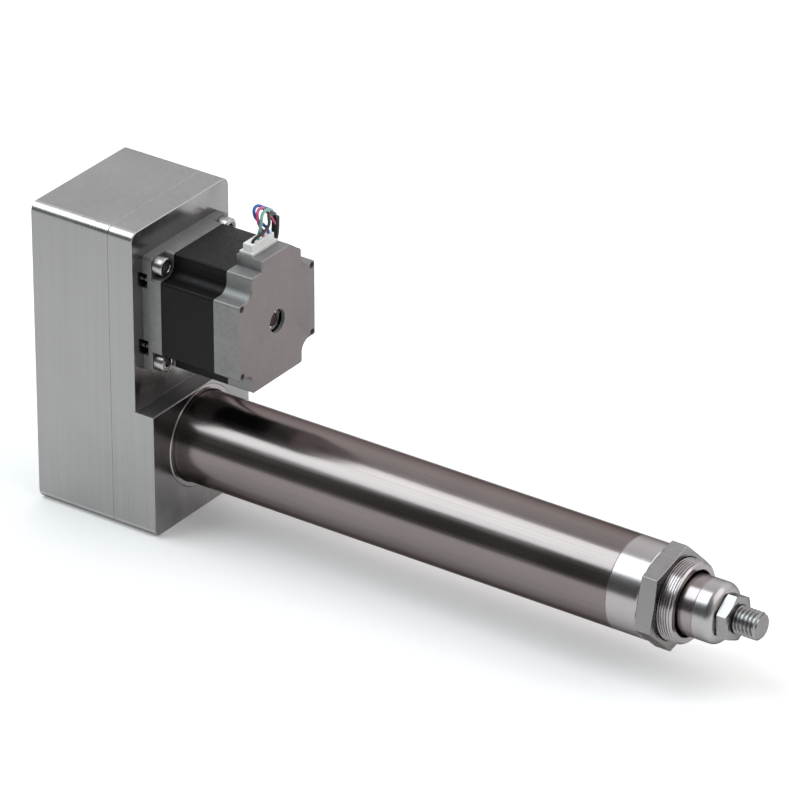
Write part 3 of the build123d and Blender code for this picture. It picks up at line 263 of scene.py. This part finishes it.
def laminated(name, colour):
    """Stacked steel sheets under black paint, with fine lines across the stack."""
    material, tree, surface, place = shader(name)
    sheets = tree.nodes.new("ShaderNodeTexWave")
    sheets.wave_type = "BANDS"
    sheets.bands_direction = "X"
    sheets.inputs["Scale"].default_value = 620.0
    sheets.inputs["Distortion"].default_value = 0.6
    sheets.inputs["Detail"].default_value = 1.0
    tree.links.new(place, sheets.inputs["Vector"])
    speckle = pattern(tree, place, (900.0, 900.0, 900.0), 3.0)
    both = added(tree, sheets.outputs["Fac"], speckle, 0.6)
    tree.links.new(tinted(tree, both, shade(colour, 0.7), shade(colour, 1.5)), surface.inputs["Base Color"])
    tree.links.new(spread(tree, speckle, 0.28, 0.55), surface.inputs["Roughness"])
    tree.links.new(raised(tree, both, 0.00005), surface.inputs["Normal"])
    surface.inputs["Specular IOR Level"].default_value = 0.14
    return material


def cast_skin(colour):
    """The greyer, slightly lighter colour of a casting's skin."""
    return (1.12 * sum(colour) / 3,) * 3


def finishes(context):
    """Every finish of the object by name, made once from the colour settings."""
    made = {m.name: m for m in bpy.data.materials}
    if "housing_satin" in made:
        return made
    c = context.scene.actuator_colours
    along_x, across_x, upright = (9.0, 900.0, 900.0), (2600.0, 40.0, 40.0), (420.0, 420.0, 7.0)
    milled, cast, wiped = (110.0, 110.0, 50.0), (520.0, 520.0, 520.0), (500.0, 90.0, 90.0)
    worked_metal("housing_satin", c.housing, 0.44, upright, 0.000012, 0.12, 22.0, 0.06)
    # Front faces: the milled grain and lower roughness are real; the tone made darker than the satin sides is
    # painted shade for the shadowed floor these faces mirror
    worked_metal("housing_milled", shade(c.housing, 0.88), 0.24, milled, 0.000006, 0.22, 30.0, 0.09)
    # Rounded long edges: the housing metal made 1.3 times lighter, a painted highlight along the corners
    worked_metal("housing_edge", shade(c.housing, 1.3), 0.30, upright, 0.000006, 0.06, 40.0, 0.05)
    worked_metal("tube_brushed", c.tube, 0.20, along_x, 0.000010, 0.14, 14.0, 0.07)
    worked_metal("head_turned", c.head, 0.22, across_x, 0.000006, 0.05, 60.0, 0.05)
    worked_metal("zinc_plate", c.zinc, 0.28, (60.0, 500.0, 500.0), 0.000005, 0.13, 90.0, 0.07)
    worked_metal("rod_ground", c.rod, 0.22, across_x, 0.000006, 0.07, 50.0, 0.05)
    worked_metal("cap_turned", c.cap, 0.26, across_x, 0.000006, 0.05, 80.0, 0.05)
    # Faced ends: a real smoother finish than the skin, with the motor colour's pink tint as a painted
    # reflection; the cast skin below is grey
    worked_metal("motor_faced", c.motor, 0.42, cast, 0.00002, 0.14, 70.0, 0.08, 0.8)
    worked_metal("motor_skin", cast_skin(c.motor), 0.50, cast, 0.00003, 0.22, 60.0, 0.08, 0.6)
    worked_metal("screw_bright", c.screws, 0.29, (700.0, 240.0, 240.0), 0.000006, 0.08, 150.0)
    worked_metal("bearing_steel", (0.55, 0.55, 0.56), 0.14, across_x, 0.000003, 0.04, 90.0, 0.03)
    worked_metal("plain_steel", (0.20, 0.18, 0.18), 0.38, wiped, 0.00001, 0.10, 60.0)
    # Motor shaft: near-black brown as painted shade of the hole in the rear cap where its end shows
    worked_metal("shaft_oiled", (0.07, 0.05, 0.045), 0.40, wiped, 0.00001, 0.10, 60.0)
    worked_metal("bronze", (0.42, 0.24, 0.10), 0.33, across_x, 0.00001, 0.10, 60.0)
    worked_metal("copper_wire", (0.62, 0.24, 0.10), 0.30, (60.0, 1500.0, 1500.0), 0.00004, 0.12, 60.0)
    moulded("magnet_grey", (0.06, 0.06, 0.065), 0.45, 400.0)
    moulded("belt_rubber", (0.018, 0.018, 0.019), 0.6, 900.0, 0.00002, 0.2)
    moulded("seal_rubber", (0.010, 0.010, 0.011), 0.42, 800.0, 0.00001, 0.2)
    moulded("guide_plastic", (0.30, 0.28, 0.22), 0.5, 600.0)
    moulded("connector_nylon", c.connector, 0.42, 500.0, 0.000008, 0.04)
    for name in ("blue", "red", "green"):
        moulded("insulation_" + name, getattr(c, name), 0.34, 900.0)
    moulded("insulation_black", c.black, 0.38, 900.0, 0.00001, 0.25)
    moulded("sleeve_black", shade(c.black, 1.1), 0.5, 1300.0, 0.00003, 0.3)
    laminated("lamination_stack", c.laminations)
    return {m.name: m for m in bpy.data.materials}


# Shapes


def placed(mesh, name, body, finish, replaced=(), sharp=32.0, bevel=0.0):
    """Turns a bmesh in millimetres into a finished piece that rides on a body."""
    bmesh.ops.scale(mesh, vec=(MM, MM, MM), verts=mesh.verts)
    data = bpy.data.meshes.new(name)
    mesh.to_mesh(data)
    mesh.free()
    data.shade_smooth()
    data.set_sharp_from_angle(angle=math.radians(sharp))
    data.materials.append(finish)
    piece = bpy.data.objects.new(name, data)
    bpy.context.scene.collection.objects.link(piece)
    if bevel:
        edges = piece.modifiers.new("rounding", "BEVEL")
        edges.width = bevel
        edges.segments = 2
        edges.limit_method = "ANGLE"
        edges.angle_limit = math.radians(sharp)
        edges.harden_normals = True
        edges.use_clamp_overlap = True
    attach(piece, body)
    if replaced:
        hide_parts(*replaced)
    return piece


def outline_edges(mesh, points, closed=False):
    """The corners and edges of an outline of (x, radius) points above the X axis."""
    corners = [mesh.verts.new((x, 0.0, radius)) for x, radius in points]
    pairs = list(zip(corners, corners[1:]))
    if closed:
        pairs.append((corners[-1], corners[0]))
    return corners + [mesh.edges.new(pair) for pair in pairs]


def weld(mesh):
    """Merges the corners that lie in one place."""
    bmesh.ops.remove_doubles(mesh, verts=mesh.verts, dist=WELD)


def turn_outline(mesh, points, steps=AROUND, closed=False):
    """Spins an outline round the X axis and closes its seam."""
    bmesh.ops.spin(
        mesh, geom=outline_edges(mesh, points, closed), cent=(0, 0, 0), axis=(1, 0, 0),
        dvec=(0, 0, 0), angle=2 * math.pi, steps=steps, use_merge=True)


def settle(mesh, distance=WELD):
    """Merges doubles and turns every face outwards."""
    bmesh.ops.remove_doubles(mesh, verts=mesh.verts, dist=distance)
    bmesh.ops.dissolve_degenerate(mesh, edges=mesh.edges, dist=distance / 5)
    bmesh.ops.recalc_face_normals(mesh, faces=mesh.faces)


def turned(name, points, body, finish, replaced, steps):
    """A closed piece of revolution."""
    mesh = bmesh.new()
    turn_outline(mesh, points, steps, closed=True)
    settle(mesh)
    return placed(mesh, name, body, finish, replaced)


def cut_thread(mesh, start, end, radius, pitch, chamfer):
    """A right-handed thread round X between two planes, with its front end chamfered. Its outline
    goes from root to crest in two slopes, in shares of the pitch."""
    root = radius - 0.54 * pitch
    outline = []
    first = start - 1.5 * pitch
    for turn in range(math.ceil((end - start) / pitch) + 3):
        base = first + turn * pitch
        outline += [(base, root), (base + 0.24 * pitch, root)]
        outline += [(base + 0.40 * pitch, (root + radius) / 2), (base + 0.56 * pitch, radius)]
        outline += [(base + 0.68 * pitch, radius), (base + 0.84 * pitch, (root + radius) / 2)]
    bmesh.ops.spin(
        mesh, geom=outline_edges(mesh, outline), cent=(0, 0, 0), axis=(1, 0, 0),
        dvec=(pitch / AROUND, 0, 0), angle=2 * math.pi, steps=AROUND, use_merge=False)
    weld(mesh)
    for plane, side in ((start, -1), (end, 1)):
        bmesh.ops.bisect_plane(
            mesh, geom=mesh.verts[:] + mesh.edges[:] + mesh.faces[:], dist=0.0001,
            plane_co=(plane, 0, 0), plane_no=(side, 0, 0), clear_outer=True)
    for corner in mesh.verts:
        limit = radius - (corner.co.x - (end - chamfer))
        reach = math.hypot(corner.co.y, corner.co.z)
        if reach > limit:
            corner.co.y *= limit / reach
            corner.co.z *= limit / reach


def open_rings(mesh, x):
    """The open edges that lie in the plane across X at x."""
    return [
        e for e in mesh.edges
        if e.is_boundary and all(abs(v.co.x - x) < 0.001 for v in e.verts)]


def threaded(name, start, end, radius, pitch, chamfer, front, rear, body, finish, replaced):
    """A thread joined to the turned outlines in front of it and behind it."""
    mesh = bmesh.new()
    cut_thread(mesh, start, end, radius, pitch, chamfer)
    turn_outline(mesh, front)
    if rear:
        turn_outline(mesh, rear)
    weld(mesh)
    for x in (start, end):
        bmesh.ops.bridge_loops(mesh, edges=open_rings(mesh, x))
    settle(mesh, 0.0002)
    return placed(mesh, name, body, finish, replaced, sharp=40.0)


def softened(name, body, finish, width, angle=28.0):
    """A copy of a solid with its machined edges rounded, which stands for the solid."""
    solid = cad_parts[name]
    mesh = bmesh.new()
    mesh.from_mesh(solid.data)
    bmesh.ops.remove_doubles(mesh, verts=mesh.verts, dist=0.000002)
    bmesh.ops.dissolve_limit(
        mesh, angle_limit=math.radians(0.6), verts=mesh.verts, edges=mesh.edges,
        use_dissolve_boundaries=False, delimit=set())
    bmesh.ops.scale(mesh, vec=(1 / MM, 1 / MM, 1 / MM), verts=mesh.verts)
    return placed(mesh, name + "_finished", body, finish, (name,), sharp=angle, bevel=width)


def faced(piece, finish, chosen):
    """Gives a second finish to the faces whose outward direction is chosen."""
    piece.data.materials.append(finish)
    for face in piece.data.polygons:
        if chosen(face.normal):
            face.material_index = len(piece.data.materials) - 1


def faces_front(way):
    """True for the flat faces across the rod, which are milled."""
    return way.x > 0.95


def turns_corner(way):
    """True for the long rounded edges between two sides, which get the housing metal made lighter as a
    painted highlight.
    """
    return abs(way.x) < 0.2 and max(abs(way.y), abs(way.z)) < 0.995


def keeps_skin(way):
    """True for the sides of a casting, which aren't faced."""
    return abs(way.x) < 0.5


def dress(finish, *names):
    """Gives a finish to solids that are shown as they are."""
    for name in names:
        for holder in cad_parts[name].material_slots:
            holder.material = finish


def cord_curve(name, points, diameter, finish, body="housing"):
    """A round cord on one smooth spline along its route."""
    line = bpy.data.curves.new(name, "CURVE")
    line.dimensions = "3D"
    line.bevel_depth = diameter / 2
    line.bevel_resolution = 4
    line.resolution_u = 6
    line.use_fill_caps = True
    spline = line.splines.new("NURBS")
    spline.points.add(len(points) - 1)
    for point, (x, y, z) in zip(spline.points, points):
        point.co = (x * MM, y * MM, z * MM, 1.0)
    spline.order_u = 3
    spline.use_endpoint_u = True
    line.materials.append(finish)
    piece = bpy.data.objects.new(name, line)
    bpy.context.scene.collection.objects.link(piece)
    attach(piece, body)
    return piece


def eased(turn, start, end):
    """0 before start, 1 after end and a smooth step between, in degrees."""
    share = min(1.0, max(0.0, (turn - start) / (end - start)))
    return share * share * (3 - 2 * share)


def coil_turns(diameter):
    """Four turns of cable, two wide and two high, whose end leaves over the top of the others: the
    second turn lies inside the first, the third on the second and the fourth on the first."""
    points = []
    for step in range(64):
        turn = 22.5 * step
        angle = math.radians(turn)
        radius = COIL_RADIUS - diameter * (eased(turn, 312, 350) - eased(turn, 988, 1024))
        points.append((
            COIL_MIDDLE[0] + radius * math.sin(angle),
            COIL_MIDDLE[1] - radius * math.cos(angle),
            COIL_HEIGHT + diameter * (eased(turn, 648, 686) + eased(turn, 1328, 1364))))
    return points


def soft_lamp(name, toward, along, distance, sides, power, colour):
    """A large lamp that shines on the middle of the object, its first side along a direction."""
    lamp = bpy.data.lights.new(name, "AREA")
    lamp.shape = "RECTANGLE"
    lamp.size, lamp.size_y = sides
    lamp.energy = power
    lamp.color = colour
    piece = bpy.data.objects.new(name, lamp)
    way = Vector(toward).normalized()
    across = way.cross(Vector(along)).normalized()
    piece.location = Vector((-0.14, 0.0, 0.0)) + way * distance
    piece.rotation_euler = Matrix((across.cross(way), across, way)).transposed().to_euler()
    piece.visible_camera = False
    bpy.context.scene.collection.objects.link(piece)


def reckoned(tree, operation, first, second):
    """The result of a sum on two values, the second of which may be a plain number."""
    node = tree.nodes.new("ShaderNodeMath")
    node.operation = operation
    tree.links.new(first, node.inputs[0])
    if isinstance(second, float):
        node.inputs[1].default_value = second
    else:
        tree.links.new(second, node.inputs[1])
    return node.outputs["Value"]


def pale_floor():
    """A white floor that is darker far from the object, where only reflections show it, and that
    shines a little for rays from the camera, from a mirror or through glass."""
    material, tree, surface, place = shader("pale_floor")
    reach = tree.nodes.new("ShaderNodeVectorMath")
    reach.operation = "LENGTH"
    tree.links.new(place, reach.inputs[0])
    away = tree.nodes.new("ShaderNodeMapRange")
    away.interpolation_type = "SMOOTHSTEP"
    away.inputs["From Min"].default_value = 0.55
    away.inputs["From Max"].default_value = 1.3
    away.inputs["To Min"].default_value = 1.0
    away.inputs["To Max"].default_value = 0.35
    tree.links.new(reach.outputs["Value"], away.inputs["Value"])
    nearness = away.outputs["Result"]
    ramp = tree.nodes.new("ShaderNodeValToRGB")
    ramp.color_ramp.elements[0].color = (0.0, 0.0, 0.0, 1.0)
    ramp.color_ramp.elements[1].color = (0.91, 0.91, 0.91, 1.0)
    tree.links.new(nearness, ramp.inputs["Fac"])
    tree.links.new(ramp.outputs["Color"], surface.inputs["Base Color"])
    surface.inputs["Roughness"].default_value = 0.9
    surface.inputs["Specular IOR Level"].default_value = 0.1
    ray = tree.nodes.new("ShaderNodeLightPath").outputs
    seen = reckoned(tree, "MAXIMUM", ray["Is Camera Ray"], ray["Is Glossy Ray"])
    seen = reckoned(tree, "MAXIMUM", seen, ray["Is Transmission Ray"])
    shine = reckoned(tree, "MULTIPLY", reckoned(tree, "MULTIPLY", seen, nearness), 0.13)
    tree.links.new(shine, surface.inputs["Emission Strength"])
    surface.inputs["Emission Color"].default_value = (1.0, 1.0, 1.0, 1.0)
    return material


def soft_room():
    """A white world that is brighter on the far side of the object and dim on the near one."""
    world = bpy.data.worlds.new("soft_room")
    world.use_nodes = True
    tree = world.node_tree
    background = tree.nodes["Background"]
    place = tree.nodes.new("ShaderNodeTexCoord")
    parts = tree.nodes.new("ShaderNodeSeparateXYZ")
    tree.links.new(place.outputs["Generated"], parts.inputs["Vector"])
    walls = tree.nodes.new("ShaderNodeMapRange")
    walls.inputs["From Min"].default_value = -0.8
    walls.inputs["From Max"].default_value = 0.8
    walls.inputs["To Min"].default_value = 0.10
    walls.inputs["To Max"].default_value = 1.25
    tree.links.new(parts.outputs["Y"], walls.inputs["Value"])
    tree.links.new(walls.outputs["Result"], background.inputs["Strength"])
    background.inputs["Color"].default_value = (1.0, 1.0, 1.0, 1.0)
    return world


# Operators


class ACTUATOR_OT_stage(bpy.types.Operator):
    """Adds the floor, the soft light and the camera"""

    bl_idname = "actuator.stage"
    bl_label = "Studio"

    def execute(self, context):
        scene = context.scene
        scene.view_settings.view_transform = "Standard"
        mesh = bmesh.new()
        bmesh.ops.create_grid(mesh, x_segments=1, y_segments=1, size=20.0)
        bmesh.ops.translate(mesh, verts=mesh.verts, vec=(0, 0, FLOOR * MM))
        data = bpy.data.meshes.new("floor")
        mesh.to_mesh(data)
        mesh.free()
        data.materials.append(pale_floor())
        floor = bpy.data.objects.new("floor", data)
        scene.collection.objects.link(floor)

        soft_lamp(
            "soft_key", toward=(-0.506, -0.32, 0.801), along=(0.0, 0.94, 0.33), distance=5.5,
            sides=(4.1, 3.3), power=162.0, colour=(0.87, 0.97, 1.0))
        soft_lamp(
            "soft_fill", toward=(0.65, 0.2, 0.73), along=(0.0, 1.0, 0.0), distance=5.0,
            sides=(5.0, 5.0), power=94.0, colour=(1.0, 0.97, 0.95))
        scene.world = soft_room()

        lens = bpy.data.cameras.new("camera")
        lens.sensor_width = 36.0
        lens.lens = 294.0165
        lens.clip_end = 100.0
        camera = bpy.data.objects.new("camera", lens)
        camera.location = (1.282613, -2.037132, 1.392093)
        camera.rotation_euler = (math.radians(90 - 28.31), 0.0, math.radians(35.087))
        scene.collection.objects.link(camera)
        scene.camera = camera
        return {"FINISHED"}


class ACTUATOR_OT_cable(bpy.types.Operator):
    """Lays the four leads, the black sleeve and its coil with ties and end plug"""

    bl_idname = "actuator.cable"
    bl_label = "Leads and cable"

    def execute(self, context):
        sizes = context.scene.actuator_sizes
        look = finishes(context)
        for name, points in LEADS.items():
            colour = name.split("_")[1]
            lead = cord_curve(name + "_wire", points, sizes.lead_diameter, look["insulation_" + colour])
            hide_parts(name)
        route = list(SLEEVE) + coil_turns(sizes.cable_diameter / MM) + list(CABLE_OUT)
        cable = cord_curve("cable", route, sizes.cable_diameter, look["sleeve_black"])
        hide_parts("cable_sleeve", "cable_coil")
        plug = softened("cable_end_plug", "housing", look["connector_nylon"], 0.0002)
        ties = softened("coil_ties", "housing", look["insulation_black"], 0.00015)
        return {"FINISHED"}


class ACTUATOR_OT_housing(bpy.types.Operator):
    """Finishes both halves of the belt housing, its screws and the ring round the tube"""

    bl_idname = "actuator.housing"
    bl_label = "Belt housing"

    def execute(self, context):
        look = finishes(context)
        edge = context.scene.actuator_sizes.edge_softness
        for half in ("rear_housing", "front_housing"):
            shell = softened(half, "housing", look["housing_satin"], edge)
            # The flat front faces take the milled metal, whose darker tone is painted shade
            faced(shell, look["housing_milled"], faces_front)
            # The rounded long edges take the lighter housing metal, a painted highlight
            faced(shell, look["housing_edge"], turns_corner)
        softened("tube_collar", "housing", look["head_turned"], edge / 2)
        dress(look["screw_bright"], "housing_screws", "retainer_screws")
        return {"FINISHED"}


class ACTUATOR_OT_tube(bpy.types.Operator):
    """Turns the outer tube and the front head with its threaded nose"""

    bl_idname = "actuator.tube"
    bl_label = "Tube and head"

    def execute(self, context):
        look = finishes(context)
        pitch = context.scene.actuator_sizes.nose_pitch / MM
        turned(
            "tube_polished",
            [(TUBE_REAR, TUBE_BORE), (TUBE_FRONT - 0.02, TUBE_BORE), (TUBE_FRONT - 0.02, TUBE_RADIUS - 0.2),
             (TUBE_FRONT - 0.22, TUBE_RADIUS), (TUBE_REAR, TUBE_RADIUS)],
            "housing", look["tube_brushed"], ("outer_tube",), 192)
        threaded(
            "head_with_thread", NUT_FACE, NOSE_FACE, NOSE_RADIUS, pitch, NOSE_CHAMFER,
            [(NOSE_FACE, NOSE_MOUTH + 0.3), (NOSE_FACE - 0.3, NOSE_MOUTH), (WIPER_FRONT, NOSE_MOUTH),
             (WIPER_FRONT, HEAD_BORE), (SPIGOT_REAR, HEAD_BORE), (SPIGOT_REAR, SPIGOT_RADIUS),
             (HEAD_SEAL_REAR, SPIGOT_RADIUS), (HEAD_SEAL_REAR, HEAD_SEAL_RADIUS),
             (HEAD_SEAL_FRONT, HEAD_SEAL_RADIUS), (HEAD_SEAL_FRONT, SPIGOT_RADIUS),
             (TUBE_FRONT, SPIGOT_RADIUS), (TUBE_FRONT, TUBE_RADIUS - 0.2),
             (TUBE_FRONT + 0.2, TUBE_RADIUS), (SHOULDER - 0.4, TUBE_RADIUS),
             (SHOULDER, TUBE_RADIUS - 0.4), (SHOULDER, NOSE_PITCH_RADIUS), (NUT_FACE, NOSE_PITCH_RADIUS)],
            (), "housing", look["head_turned"], ("front_head",))
        return {"FINISHED"}


class ACTUATOR_OT_nuts(bpy.types.Operator):
    """Finishes the mounting nut and the stud's jam nut"""

    bl_idname = "actuator.nuts"
    bl_label = "Nuts"

    def execute(self, context):
        look = finishes(context)
        edge = context.scene.actuator_sizes.edge_softness
        softened("mounting_nut", "housing", look["zinc_plate"], edge, 20.0)
        softened("jam_nut", "rod", look["zinc_plate"], edge / 2, 20.0)
        return {"FINISHED"}


class ACTUATOR_OT_rod(bpy.types.Operator):
    """Turns the rod, its end cap, the threaded stud and the wiper"""

    bl_idname = "actuator.rod"
    bl_label = "Rod and stud"

    def execute(self, context):
        look = finishes(context)
        pitch = context.scene.actuator_sizes.stud_pitch / MM
        turned(
            "rod_polished",
            [(ROD_REAR, ROD_BORE), (ROD_FRONT, ROD_BORE), (ROD_FRONT, ROD_RADIUS - 0.15),
             (ROD_FRONT - 0.15, ROD_RADIUS), (ROD_REAR, ROD_RADIUS)],
            "rod", look["rod_ground"], ("thrust_rod",), 160)
        rounding = [
            (ROD_FACE - CAP_ROUNDING * (1 - math.sin(math.radians(a))),
             ROD_RADIUS - CAP_ROUNDING * (1 - math.cos(math.radians(a))))
            for a in range(0, 91, 10)]
        turned(
            "end_cap_polished",
            [(CAP_PLUG_REAR, STUD_HOLE), (CAP_PLUG_REAR, CAP_PLUG_RADIUS), (ROD_FRONT, CAP_PLUG_RADIUS),
             (ROD_FRONT, ROD_RADIUS - 0.25), (ROD_FRONT + 0.25, ROD_RADIUS)] + rounding
            + [(ROD_FACE, STUD_HOLE), (STUD_REAR, STUD_HOLE), (STUD_REAR, 0.0), (CAP_PLUG_REAR, 0.0)],
            "rod", look["cap_turned"], ("rod_end_cap",), 160)
        threaded(
            "stud_with_thread", JAM_FACE, STUD_FRONT, STUD_RADIUS, pitch, STUD_CHAMFER,
            [(STUD_FRONT, 4.6), (STUD_FRONT, 0.0)],
            [(JAM_FACE, STUD_PITCH_RADIUS), (STUD_REAR + 0.2, STUD_PITCH_RADIUS),
             (STUD_REAR, STUD_PITCH_RADIUS - 0.2), (STUD_REAR, 0.0)],
            "rod", look["zinc_plate"], ("rod_stud",))
        dress(look["seal_rubber"], "rod_wiper")
        return {"FINISHED"}


class ACTUATOR_OT_motor(bpy.types.Operator):
    """Finishes the motor's front piece, its black stack and its rear piece"""

    bl_idname = "actuator.motor"
    bl_label = "Motor"

    def execute(self, context):
        look = finishes(context)
        edge = context.scene.actuator_sizes.edge_softness
        softened("stator_core", "housing", look["lamination_stack"], edge)
        for end in ("motor_front_bell", "motor_rear_cap"):
            # The faced ends carry the painted pink reflection tint, the sides the grey cast skin
            casting = softened(end, "housing", look["motor_faced"], edge)
            faced(casting, look["motor_skin"], keeps_skin)
        dress(look["screw_bright"], "motor_through_bolts")
        return {"FINISHED"}


class ACTUATOR_OT_screws(bpy.types.Operator):
    """Makes the four socket screws that hold the motor"""

    bl_idname = "actuator.screws"
    bl_label = "Motor screws"

    def execute(self, context):
        look = finishes(context)
        mesh = bmesh.new()
        seat, head, tip = SCREW_SEAT, SCREW_SEAT + SCREW_HEAD_LENGTH, SCREW_SEAT - SCREW_LENGTH
        rim, corner = head - 0.25, SCREW_HEX / math.sqrt(3)
        turn_outline(mesh, [
            (tip, 0.0), (tip, SCREW_RADIUS - 0.5), (tip + 0.5, SCREW_RADIUS), (seat, SCREW_RADIUS),
            (seat, SCREW_HEAD_RADIUS - 0.15), (seat + 0.15, SCREW_HEAD_RADIUS),
            (head - 0.7, SCREW_HEAD_RADIUS), (head - 0.35, 4.16), (head - 0.1, 3.95),
            (head, 3.65), (head, 2.75), (rim, 2.45)], 60)
        weld(mesh)
        socket = bmesh.ops.create_circle(
            mesh, segments=6, radius=corner, cap_ends=False,
            matrix=Matrix.Translation((rim, 0, 0)) @ Matrix.Rotation(math.pi / 2, 4, "Y"))["verts"]
        sides = [e for e in mesh.edges if e.is_wire]
        bmesh.ops.subdivide_edges(mesh, edges=sides, cuts=9)
        sides = [e for e in mesh.edges if e.is_wire]
        bmesh.ops.bridge_loops(mesh, edges=open_rings(mesh, rim) + sides)
        deep = bmesh.ops.extrude_edge_only(mesh, edges=open_rings(mesh, rim))["geom"]
        floor = [v for v in deep if isinstance(v, bmesh.types.BMVert)]
        bmesh.ops.translate(mesh, verts=floor, vec=(-SCREW_HEX_DEPTH, 0, 0))
        bmesh.ops.contextual_create(
            mesh, geom=[e for e in deep if isinstance(e, bmesh.types.BMEdge) and e.is_boundary])
        first = mesh.verts[:] + mesh.edges[:] + mesh.faces[:]
        for side, level in ((-1, 1), (1, -1), (1, 1)):
            copy = bmesh.ops.duplicate(mesh, geom=first)["geom"]
            shifted = [v for v in copy if isinstance(v, bmesh.types.BMVert)]
            bmesh.ops.translate(
                mesh, verts=shifted, vec=(0, side * SCREW_OFFSET, MOTOR_HEIGHT + level * SCREW_OFFSET))
        bmesh.ops.translate(
            mesh, verts=[v for v in first if isinstance(v, bmesh.types.BMVert)],
            vec=(0, -SCREW_OFFSET, MOTOR_HEIGHT - SCREW_OFFSET))
        settle(mesh, 0.0002)
        placed(
            mesh, "motor_screws_socket", "housing", look["screw_bright"],
            ("motor_mount_screws",))
        return {"FINISHED"}


class ACTUATOR_OT_connector(bpy.types.Operator):
    """Finishes the connector's header and plug and their pins"""

    bl_idname = "actuator.connector"
    bl_label = "Connector"

    def execute(self, context):
        look = finishes(context)
        softened("connector_header", "housing", look["connector_nylon"], 0.00015)
        softened("connector_plug", "housing", look["connector_nylon"], 0.00025)
        dress(look["bearing_steel"], "header_pins")
        return {"FINISHED"}


class ACTUATOR_OT_inside(bpy.types.Operator):
    """Gives every piece inside the tube, the housing and the motor its finish"""

    bl_idname = "actuator.inside"
    bl_label = "Inner pieces"

    def execute(self, context):
        look = finishes(context)
        dress(look["seal_rubber"], "head_seal_ring", "rod_seal", "rear_bumper", "front_bumper")
        dress(look["bronze"], "rod_bushing", "lead_nut", "screw_tip_bushing")
        dress(look["plain_steel"], "bearing_retainer", "lead_screw", "pulley_key", "pulley_spacer",
              "screw_lock_nut", "nut_lock_ring", "nut_carrier", "rotor_core", "wave_washer")
        # The shaft is darkened as painted shade of the hole it sits in
        dress(look["shaft_oiled"], "motor_shaft")
        dress(look["bearing_steel"], "screw_bearing_outer_rings", "screw_bearing_balls",
              "screw_bearing_inner_rings", "motor_bearing_outer_rings", "motor_bearing_balls",
              "motor_bearing_inner_rings")
        dress(look["screw_bright"], "screw_tip_screw", "pulley_set_screws")
        dress(look["head_turned"], "driven_pulley", "drive_pulley")
        dress(look["copper_wire"], "stator_windings")
        dress(look["guide_plastic"], "carrier_guide_ring")
        dress(look["magnet_grey"], "position_magnet")
        dress(look["belt_rubber"], "timing_belt")
        return {"FINISHED"}


class ACTUATOR_PT_panel(bpy.types.Panel):
    """Lists the pieces in the order in which they are made"""

    bl_idname = "ACTUATOR_PT_panel"
    bl_label = "Electric rod actuator"
    bl_space_type = "VIEW_3D"
    bl_region_type = "UI"
    bl_category = "Actuator"

    def draw(self, context):
        layout = self.layout
        for group in (context.scene.actuator_sizes, context.scene.actuator_colours):
            for name in group.__annotations__:
                layout.prop(group, name)
        for operator in OPERATORS:
            layout.operator(operator.bl_idname)


OPERATORS = (
    ACTUATOR_OT_stage, ACTUATOR_OT_cable, ACTUATOR_OT_housing, ACTUATOR_OT_tube, ACTUATOR_OT_nuts,
    ACTUATOR_OT_rod, ACTUATOR_OT_motor, ACTUATOR_OT_screws, ACTUATOR_OT_connector, ACTUATOR_OT_inside,
)
CLASSES = (ActuatorSizes, ActuatorColours) + OPERATORS + (ACTUATOR_PT_panel,)


def register():
    for kind in CLASSES:
        bpy.utils.register_class(kind)
    bpy.types.Scene.actuator_sizes = bpy.props.PointerProperty(type=ActuatorSizes)
    bpy.types.Scene.actuator_colours = bpy.props.PointerProperty(type=ActuatorColours)


def unregister():
    del bpy.types.Scene.actuator_colours
    del bpy.types.Scene.actuator_sizes
    for kind in reversed(CLASSES):
        bpy.utils.unregister_class(kind)


def main():
    register()
    bpy.ops.actuator.stage()
    bpy.ops.actuator.cable()
    bpy.ops.actuator.housing()
    bpy.ops.actuator.tube()
    bpy.ops.actuator.nuts()
    bpy.ops.actuator.rod()
    bpy.ops.actuator.motor()
    bpy.ops.actuator.screws()
    bpy.ops.actuator.connector()
    bpy.ops.actuator.inside()


if __name__ == "__main__":
    main()
